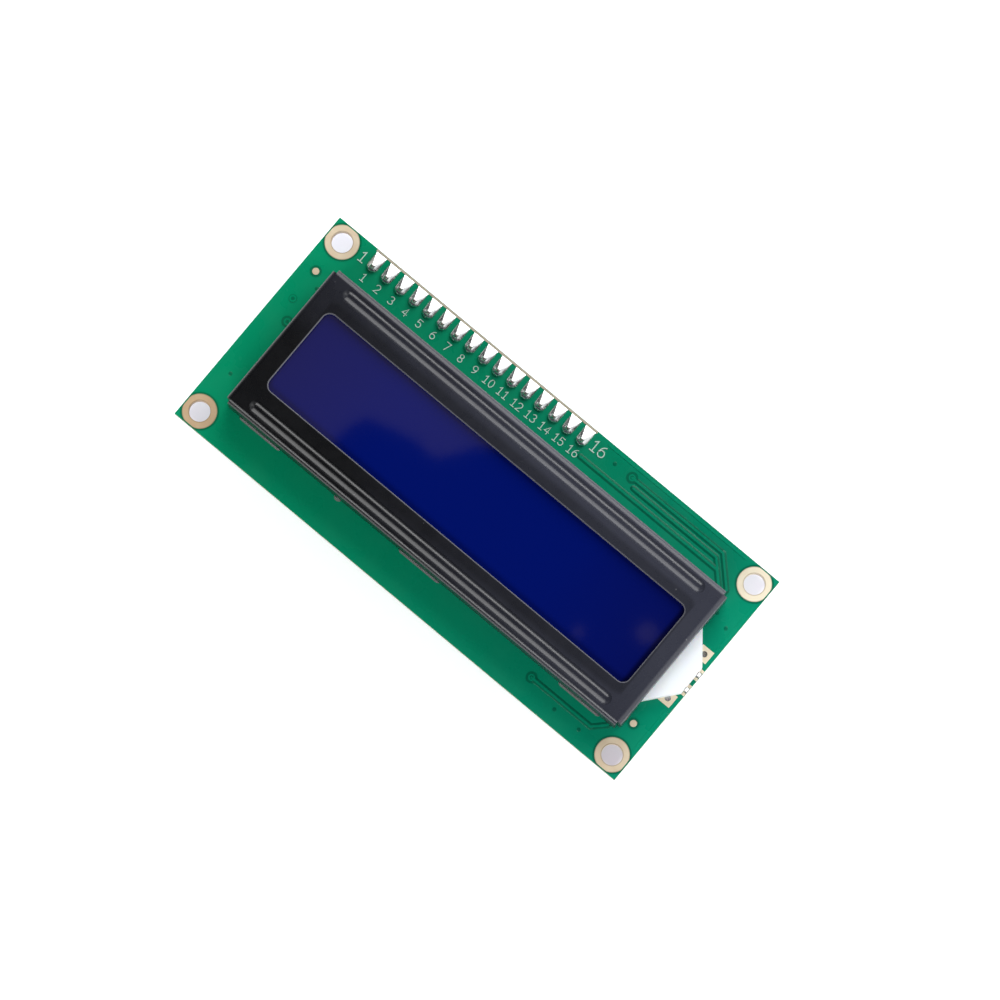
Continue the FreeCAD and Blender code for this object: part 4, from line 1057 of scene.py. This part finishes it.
class MODULE_OT_back_traces(bpy.types.Operator):
    """Traces under the back's mask, their gaps and their covered holes."""
    bl_idname = "display_module.back_traces"
    bl_label = "Back traces"

    def execute(self, context):
        height = settings().board.trace_height / MM
        wide, fine = wide_traces(), fine_traces()
        lines = [(width + 0.7, path) for width, path in wide]
        lines += [(0.78, path) for path in fine]
        lines += [(0.26, path) for path in BACK_SEAMS]
        gaps = sum((runs(path, width, GAP_TOP) for width, path in lines), [])
        gaps += [plate(circle(*path[0], 0.62, 24), GAP_TOP) for path in fine]
        gaps += [dome(x, y, 0.28, RING_TOP, SINK, sides=20, steps=4) for x, y in BACK_DOTS]
        surrounds = [(x, side * 9.75, 7.9, 3.9, 0.3) for x in TAB_XS for side in (-1, 1)]
        surrounds += [(x, y, w + 0.6, h + 0.6, 0.28) for x, y, w, h in back_rectangles() if w < 7 and y < 15]
        surrounds += [(-x, y, 2.6, 2.6, 0.1) for x, y in LEAD_PADS]
        gaps += [plate(rounded(*size), GAP_TOP) for size in surrounds]
        gaps += [plate(circle(x, y, 1.3), GAP_TOP) for x, y in END_PADS]
        gaps += [plate(circle(x, y, 0.85), GAP_TOP) for x, y in SINGLE_PADS]
        gaps += mounting_rings(2.5, 3.0)
        make_piece("back_trace_gaps", layered(gaps), "bare_mask", BACK)
        broad = [band(path, width, height) for width, path in wide]
        thin = [band(path, 0.15, height) for path in fine]
        thin += [ring_plate(*path[0], 0.2, 0.35, height, 20) for path in fine]
        make_piece("back_traces", layered(broad), "trace_mask", BACK,
                   others=[(layered(thin), "fine_mask")])
        return {"FINISHED"}


class MODULE_OT_back_copper(bpy.types.Operator):
    """Gold pads on the board's back: tab pads, header pads, lead pads, empty pads and small plated holes."""
    bl_idname = "display_module.back_copper"
    bl_label = "Back pads"

    def execute(self, context):
        top = RING_TOP + settings().board.pad_height / MM
        shapes = [plate(rounded(x, y, w, h, min(w, h) * 0.3 if h < 0.7 else 0.06), top)
                  for x, y, w, h in back_rectangles()]
        shapes += [lead_pad(-x, y, top) for x, y in LEAD_PADS]
        shapes += [ring_plate(x, y, 0.3, 0.95, top) for x, y in END_PADS]
        shapes += [ring_plate(x, y, 0.15, 0.38, top, 20) for x, y in GOLD_VIAS]
        shapes += [plate(circle(x, y, 0.5), top) for x, y in SINGLE_PADS]
        make_piece("back_pads", shapes, "copper", BACK)
        return {"FINISHED"}


def brackets(x0, y0, x1, y1, gap, top, width=0.25, upright=False):
    """Two printed brackets round a part, facing each other with a gap between their arms."""
    low, high, start, end = (x0, x1, y0, y1) if upright else (y0, y1, x0, x1)
    shapes = []
    for side, far in ((-1, start), (1, end)):
        near = (start + end) / 2 + side * gap / 2
        path = np.array([(low, near), (low, far), (high, far), (high, near)])
        shapes.append(band(path if upright else path[:, ::-1], width, top, round_ends=False))
    return shapes


NOTCHED = [(-27.6, 4.5), (-27.6, -0.8), (-30.35, -0.8), (-30.35, 4.5)]
RESISTOR_FRAMES = ((21.0, -3.95), (21.0, -6.05), (28.6, -4.1), (28.6, -6.4))
BACK_MARKS = (("8", -24.75, 13.6, 1.4), ("1", -31.6, 7.25, 1.0), ("2", -29.1, 7.25, 1.0),
              ("3", -26.6, 7.25, 1.0), ("3", -23.4, -0.2, 1.4), ("2", -17.2, -5.8, 1.4),
              ("16", -8.9, 16.6, 1.6), ("1", 7.9, -7.2, 1.4), ("2", 26.7, -3.9, 1.4),
              ("1", 26.6, -6.4, 1.4), ("3", 20.9, -8.8, 1.4), ("+", -38.3, 6.3, 1.3),
              ("-", -38.2, -6.8, 1.3))


class MODULE_OT_back_print(bpy.types.Operator):
    """Print on the board's back: outlines of parts and plain numbers."""
    bl_idname = "display_module.back_print"
    bl_label = "Back print"

    def execute(self, context):
        top = print_top()
        shapes = brackets(-22.75, 11.35, -17.7, 13.65, 0.55, top, 0.26)
        outline = np.vstack([bow(-29.0, 4.5, 0.5, 0.5, -180, 0), NOTCHED])
        shapes.append(band(outline, 0.26, top, loop=True))
        shapes += [ring_plate(x, 5.6, 0.96, 1.14, top, 36) for x in (-31.8, -29.1, -26.7)]
        for y, mark in ((-2.7, "1"), (-6.2, "2")):
            shapes += brackets(-32.4, y - 1.2, -27.6, y + 1.2, 0.7, top, 0.24)
            shapes.append(plate(rounded(-27.35, y, 0.7, 2.75, 0.05), top))
            shapes += number(mark, -33.9, y + 0.05, 1.4, top)
            shapes += number("+", -26.2, y, 1.6, top, 0.1)
        for x, y in RESISTOR_FRAMES:
            shapes += brackets(x, y - 1.0, x + 3.5, y + 1.0, 0.8, top, 0.28)
        for mark, x, y, size in BACK_MARKS:
            shapes += number(mark, x, y, size, top)
        make_piece("back_print", layered(shapes), "ink", BACK)
        return {"FINISHED"}


MAIN_RESISTORS = ((-20.3, 12.55), (22.7, -4.0), (30.3, -4.1), (30.3, -6.3))
ADAPTER_UPRIGHT = ((1.0, 9.7), (4.4, 9.7), (-0.7, 4.3), (1.7, 4.3), (3.6, 4.3))
ADAPTER_LEVEL = ((6.0, 0.85), (10.2, 0.85), (13.7, 0.85))
LARGE_CHIP = (2.0, 1.25, 0.5)
SMALL_CHIP = (1.6, 0.8, 0.45)


def chip_piece(name, chips, face, node):
    """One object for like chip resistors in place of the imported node."""
    bodies, films, ends = (sum(parts, []) for parts in zip(*chips))
    make_piece(name, bodies, "resistor_ceramic", face, [node],
               [(films, "resistor_film"), (ends, "solder")])


class MODULE_OT_chips(bpy.types.Operator):
    """Chip resistors and the chip capacitor, with metal ends, a dark film and their solder."""
    bl_idname = "display_module.chips"
    bl_label = "Chip parts"

    def execute(self, context):
        main = [chip(x, y, *LARGE_CHIP, False, 0.4) for x, y in MAIN_RESISTORS]
        chip_piece("main_resistor_chips", main, BACK, "main_resistors")
        small = [chip(x, y, *SMALL_CHIP, upright)
                 for places, upright in ((ADAPTER_UPRIGHT, True), (ADAPTER_LEVEL, False)) for x, y in places]
        chip_piece("adapter_resistor_chips", small, ADAPTER, "adapter_resistors")
        body, film, ends = chip(2.65, 9.7, 1.6, 0.8, 0.5, True)
        make_piece("adapter_capacitor_chip", body + film, "capacitor_ceramic", ADAPTER,
                   ["adapter_capacitor"], [(ends, "solder")])
        return {"FINISHED"}


class MODULE_OT_epoxy(bpy.types.Operator):
    """Smooth drops of epoxy over the two driver chips."""
    bl_idname = "display_module.epoxy"
    bl_label = "Epoxy drops"

    def execute(self, context):
        for name, x, y, radius, height, seed in (("left", -13.15, 0.75, 5.7, 1.5, 3),
                                                 ("right", 12.6, -0.25, 6.9, 1.6, 5)):
            drop = dome(x, y, radius, height, power=2.2, sides=72, steps=22, sway=0.012, seed=seed)
            make_piece(f"epoxy_drop_{name}", [drop], "black_epoxy", BACK,
                       [f"driver_epoxy_{name}"])
        return {"FINISHED"}


# The adapter, drawn as seen from behind

LEAD_YS = [2.44 + 1.27 * i for i in range(8)]
ADDRESS_XS = (20.9, 22.95, 25.1)
LINKS = ((-5.25, 9.2), (-5.25, 6.6))
PRINTED_LINES = (
    ([(-7.42, 13.9), (-7.42, -2.16), (34.05, -2.16)], 0.22),
    *(([(x, 14.1), (x, 16.75)], 0.26) for x in (7.85, 18.1, 31.0)),
    ([(-6.7, 7.95), (-3.75, 7.95)], 0.28),
    ([(-3.3, 9.6), (-3.3, 10.9), (-2.5, 10.9)], 0.16),
    ([(-0.85, 10.9), (-0.2, 10.9), (-0.2, 10.2)], 0.16),
    ([(26.35, 10.7), (26.35, 11.1), (18.95, 11.1), (18.95, 3.6), (26.4, 3.6)], 0.22),
    ([(31.2, 11.85), (29.9, 11.85), (29.9, 1.3), (32.7, 1.3)], 0.25),
)
UPRIGHT_FRAMES = (
    *((x0, 8.15, x1, 11.2) for x0, x1 in ((-0.15, 1.8), (1.8, 3.55), (3.55, 5.45))),
    *((x0, 2.75, x1, 5.9) for x0, x1 in ((-3.6, -1.65), (-1.65, 0.3), (0.6, 2.6), (2.75, 4.65))),
)


class MODULE_OT_adapter_print(bpy.types.Operator):
    """Print on the adapter: border, header frame, brackets round the parts and plain numbers."""
    bl_idname = "display_module.adapter_print"
    bl_label = "Adapter print"

    def execute(self, context):
        top = settings().board.ink_height / MM
        shapes = [band(path, width, top, round_ends=False) for path, width in PRINTED_LINES]
        for x0, y0, x1, y1 in ((-7.42, 14.1, 33.7, 16.8), (-6.7, 5.25, -3.75, 10.6)):
            shapes.append(band([(x0, y0), (x1, y0), (x1, y1), (x0, y1)], 0.28, top, loop=True))
        for corners in UPRIGHT_FRAMES:
            shapes += brackets(*corners, 0.8, top, upright=True)
        for x0, x1 in ((4.4, 7.6), (8.6, 11.9), (12.05, 15.35)):
            shapes += brackets(x0, -0.05, x1, 1.75, 1.0, top)
        for i, x in enumerate(ADDRESS_XS):
            shapes += number(str(i), x, -0.75, 1.05, top, 0.18)
        for i, y in enumerate((10.3, 7.75, 5.2, 2.65)):
            shapes += number(str(i + 1), 28.3, y, 1.15, top, 0.18)
        shapes += number("+", -4.15, 3.5, 1.0, top, 0.2)
        make_piece("adapter_print", layered(shapes), "ink", ADAPTER)
        return {"FINISHED"}


class MODULE_OT_adapter_solder(bpy.types.Operator):
    """Solder on the adapter's parts: chip and transistor leads, link pins, address pads and power LED."""
    bl_idname = "display_module.adapter_solder"
    bl_label = "Adapter solder"

    def execute(self, context):
        shapes = [slope(rounded(x, y, 2.1, 0.62, 0.2), 0.17, 0.55, 1.2)
                  for y in LEAD_YS for x in (6.75, 16.6)]
        shapes += [slope(rounded(x, y, 0.8, 1.1, 0.15), 0.17, 0.5, 1.2)
                   for x, y in ((-1.65, 11.0), (-2.6, 8.35), (-0.7, 8.35))]
        shapes += [slope(rounded(-2.4, y, 0.85, 0.75, 0.12), 0.3, 0.5, 1.2) for y in (3.35, 5.25)]
        make_piece("lead_solder", shapes, "solder", ADAPTER)
        pads = [plate(rounded(x, y, 0.95, 0.85, 0.08), 0.04, edge=0.015)
                for x in ADDRESS_XS for y in (2.05, 0.85)]
        make_piece("address_pads", pads, "dull_pad", ADAPTER)
        links = [slope(circle(x, y, 0.78, 28), 0.57, 0.3, 1.3) for x, y in LINKS]
        pins = [plate(circle(x, y, 0.69, 24), SINK, -1.58) for x, y in LINKS]
        make_piece("link_solder_joints", links + pins, "solder", ADAPTER, ["link_solder"])
        bridge = dome(-31.8, 5.6, 0.72, 0.34, power=2.2, sides=32, steps=9, sway=0.05)
        make_piece("solder_bridge_drop", [bridge], "solder", BACK, ["solder_bridge"])
        return {"FINISHED"}


# Stage

CAMERA_PLACE = (0.063996, -0.070384, 0.996372)
CAMERA_RIGHT = (0.767590, 0.640941, -0.000752)
CAMERA_UP = (-0.638011, 0.764191, 0.094626)
LENS = 258.12
FLOOR_REACH = 6.0
SHADOW_SIDES = (("X", -0.7, 40.2), ("Y", 0.6, 18.0))  # axis, middle and half width of the board on the floor
# Painted shade under the slots reaches this far inside the board's outline.
SLOT_INSETS = (6.7, 4.0)  # how far inside that the floor darkens, for the slots
HAZE_EDGE = ((-34.0, 7.6), (-1.6, 7.6), (-2.4, 6.4), (-4.5, 4.6), (-5.8, 2.4), (-7.4, 0.4), (-9.3, 0.0),
             (-11.0, 0.5), (-15.0, -0.6), (-18.4, -1.6), (-19.4, -3.4), (-19.8, -5.5), (-20.0, -8.4),
             (-34.0, -8.4))
HAZE_SPOTS = ((30.6, 0.2, 1.5), (23.2, -5.7, 0.8))
FILM_FACE = 6.29 * MM
PANEL_HEIGHT = 1.35
LIGHTS = {
    "key": ((-0.15, 1.05, 0.9), 1.3, 1.25),
    "fill": ((0.1, -1.0, 0.9), 1.2, 0.5),
    "side": ((1.05, 0.1, 0.8), 0.6, 1.1),
    "under": ((-0.45, 0.7, -0.65), 1.2, 1.0),
}


def area_light(name, place, width, depth, watts):
    """Rectangular soft light at a place, in metres, turned towards the module."""
    data = bpy.data.lights.new(name, "AREA")
    data.shape = "RECTANGLE"
    data.size, data.size_y = width, depth
    data.energy = watts
    lamp = placed(name, data)
    lamp.location = place
    lamp.rotation_euler = (-Vector(place)).to_track_quat("-Z", "Y").to_euler()


def reflected(outline):
    """Where the camera's rays go after the display's face, in metres.

    Each point of an outline on that face, in millimetres, is carried along its mirrored ray up to the panel.
    """
    points = at_height(np.asarray(outline, float) * MM, FILM_FACE)
    rays = points - CAMERA_PLACE
    rays[:, 2] *= -1
    return points + rays * ((PANEL_HEIGHT - FILM_FACE) / rays[:, 2])[:, None]


def stage_sheet(name, points, faces, material, unseen):
    """Flat piece of the stage. Unseen names the kinds of rays that pass it."""
    mesh = bpy.data.meshes.new(name)
    mesh.from_pydata(points, [], [list(face) for face in faces])
    mesh.materials.append(material)
    sheet = placed(name, mesh)
    for rays in unseen:
        setattr(sheet, f"visible_{rays}", False)


def pale_floor(stage):
    """Finish of the floor: pale, partly bright of itself, with painted shade under the board, and clear from
    below.

    Over is how far a point is beyond the board's own outline as the camera sees it on the floor.
    """
    finish = Finish("pale_floor", stage.floor, 0.7)
    finish.set("Emission Color", (1.0, 1.0, 1.0))
    over = [finish.beyond(*side) for side in SHADOW_SIDES]
    outside = finish.math("MAXIMUM", *over)
    painted_shade_zone = finish.math("MAXIMUM", *(part + inset * MM for part, inset in zip(over, SLOT_INSETS)))
    pale = finish.mix(finish.noise(120.0), shade(stage.floor, 0.985), stage.floor)
    # Painted shade in the holes: the floor under the board darkens towards the backlight's end, with a lilac
    # tint.
    under = finish.mix(finish.diagonal(-4 * MOUNT_X, 4 * MOUNT_Y), stage.floor_shade, stage.floor_light)
    around = finish.mix(finish.ramp(outside, -1.0 * MM, 1.0 * MM), under, pale)
    # Painted shade: a dark patch on the floor under the slots.
    shaded = finish.ramp(painted_shade_zone, -0.7 * MM, 1.2 * MM)
    finish.set("Base Color", finish.mix(shaded, shade(stage.floor, 0.10), around))
    # Painted shade: the floor glows less under the board.
    finish.set("Emission Strength", finish.ramp(outside, -1.4 * MM, 0.2 * MM, 0.05, 0.48))
    from_below = finish.signal("NewGeometry", output="Backfacing")
    both = finish.signal("MixShader", {0: from_below, 1: Signal(finish, finish.shader.outputs[0]),
                                       2: finish.signal("BsdfTransparent")})
    finish.put(finish.tree.nodes["Material Output"].inputs["Surface"], both)
    return finish.material


def studio_world():
    """World light: brighter low down and towards one side, and nearly white to the camera."""
    world = bpy.data.worlds.new("studio")
    world.use_nodes = True
    sky = Nodes(world.node_tree)
    x, y, z = (sky.part(axis, "Generated") for axis in "XYZ")
    by_height = sky.ramp(z, 0.15, 0.85, 0.55, 0.012)
    tilt = sky.math("MULTIPLY_ADD", x, 0.5, y)
    side = sky.ramp(tilt, -0.8, 0.8, 0.25, 2.2) * sky.ramp(z, -0.7, -0.15, 0.4, 1.0)
    seen = sky.signal("LightPath", output="Is Camera Ray")
    background = sky.tree.nodes["Background"]
    sky.put(background.inputs["Strength"], sky.math("MULTIPLY_ADD", seen, 0.95, by_height * side))
    sky.put(background.inputs["Color"], (0.95, 0.97, 1.0))
    return world


class MODULE_OT_stage(bpy.types.Operator):
    """Pale floor, soft lights, the soft panel that the display's film reflects, and the camera."""
    bl_idname = "display_module.stage"
    bl_label = "Stage"

    def execute(self, context):
        stage = settings().stage
        scene = context.scene
        scene.view_settings.view_transform = "Standard"
        scene.world = studio_world()

        level = cad_box[0].z - stage.floor_gap
        corners = at_height(rounded(0, 0, 2 * FLOOR_REACH, 2 * FLOOR_REACH, 0, 1), level).tolist()
        stage_sheet("floor", corners, [range(4)], pale_floor(stage), ["shadow"])

        for name, (place, width, depth) in LIGHTS.items():
            area_light(f"{name}_light", place, width, depth, getattr(stage, name))

        outlines = [reflected(HAZE_EDGE), *(reflected(circle(*spot, 16)) for spot in HAZE_SPOTS)]
        starts = np.cumsum([0] + [len(outline) for outline in outlines])
        faces = [range(b - 1, a - 1, -1) for a, b in zip(starts, starts[1:])]
        haze = Finish("haze_panel", (0, 0, 0), 1.0, emission_color=(0.86, 0.66, 0.14), emission_strength=1.0)
        stage_sheet("haze_panel", np.vstack(outlines).tolist(), faces, haze.material,
                    ("camera", "diffuse", "shadow"))

        data = bpy.data.cameras.new("camera")
        data.lens = LENS
        data.sensor_width = 36.0
        data.clip_start, data.clip_end = 0.05, 50.0
        camera = placed("camera", data)
        right, up = Vector(CAMERA_RIGHT), Vector(CAMERA_UP)
        turn = Matrix((right, up, right.cross(up))).transposed().to_4x4()
        camera.matrix_world = Matrix.Translation(CAMERA_PLACE) @ turn
        scene.camera = camera
        return {"FINISHED"}


class DisplayModuleSettings(bpy.types.PropertyGroup):
    """All settings of the display module."""
    board: PointerProperty(type=BoardSettings)
    display: PointerProperty(type=DisplaySettings)
    adapter: PointerProperty(type=AdapterSettings)
    solder: PointerProperty(type=SolderSettings)
    stage: PointerProperty(type=StageSettings)


OPERATORS = (
    MODULE_OT_stage,
    MODULE_OT_finishes,
    MODULE_OT_front_copper,
    MODULE_OT_front_traces,
    MODULE_OT_front_print,
    MODULE_OT_header_solder,
    MODULE_OT_back_copper,
    MODULE_OT_back_traces,
    MODULE_OT_back_print,
    MODULE_OT_chips,
    MODULE_OT_epoxy,
    MODULE_OT_adapter_print,
    MODULE_OT_adapter_solder,
)
GROUPS = ("board", "display", "adapter", "solder", "stage")


class MODULE_PT_panel(bpy.types.Panel):
    """Settings and steps of the display module, in the 3D view's sidebar."""
    bl_idname = "MODULE_PT_panel"
    bl_label = "Display Module"
    bl_space_type = "VIEW_3D"
    bl_region_type = "UI"
    bl_category = "Display Module"

    def draw(self, context):
        look = context.scene.display_module
        for name in GROUPS:
            box = self.layout.box()
            box.label(text=name.title())
            group = getattr(look, name)
            for key in group.bl_rna.properties.keys():
                if key not in ("rna_type", "name"):
                    box.prop(group, key)
        for operator in OPERATORS:
            self.layout.operator(operator.bl_idname)


CLASSES = (BoardSettings, DisplaySettings, AdapterSettings, SolderSettings, StageSettings,
           DisplayModuleSettings, *OPERATORS, MODULE_PT_panel)


def register():
    for item in CLASSES:
        bpy.utils.register_class(item)
    bpy.types.Scene.display_module = PointerProperty(type=DisplayModuleSettings)


def unregister():
    del bpy.types.Scene.display_module
    for item in reversed(CLASSES):
        bpy.utils.unregister_class(item)


def main():
    register()
    for operator in OPERATORS:
        family, step = operator.bl_idname.split(".")
        getattr(getattr(bpy.ops, family), step)()
    bpy.context.view_layer.update()


if __name__ == "__main__":
    main()
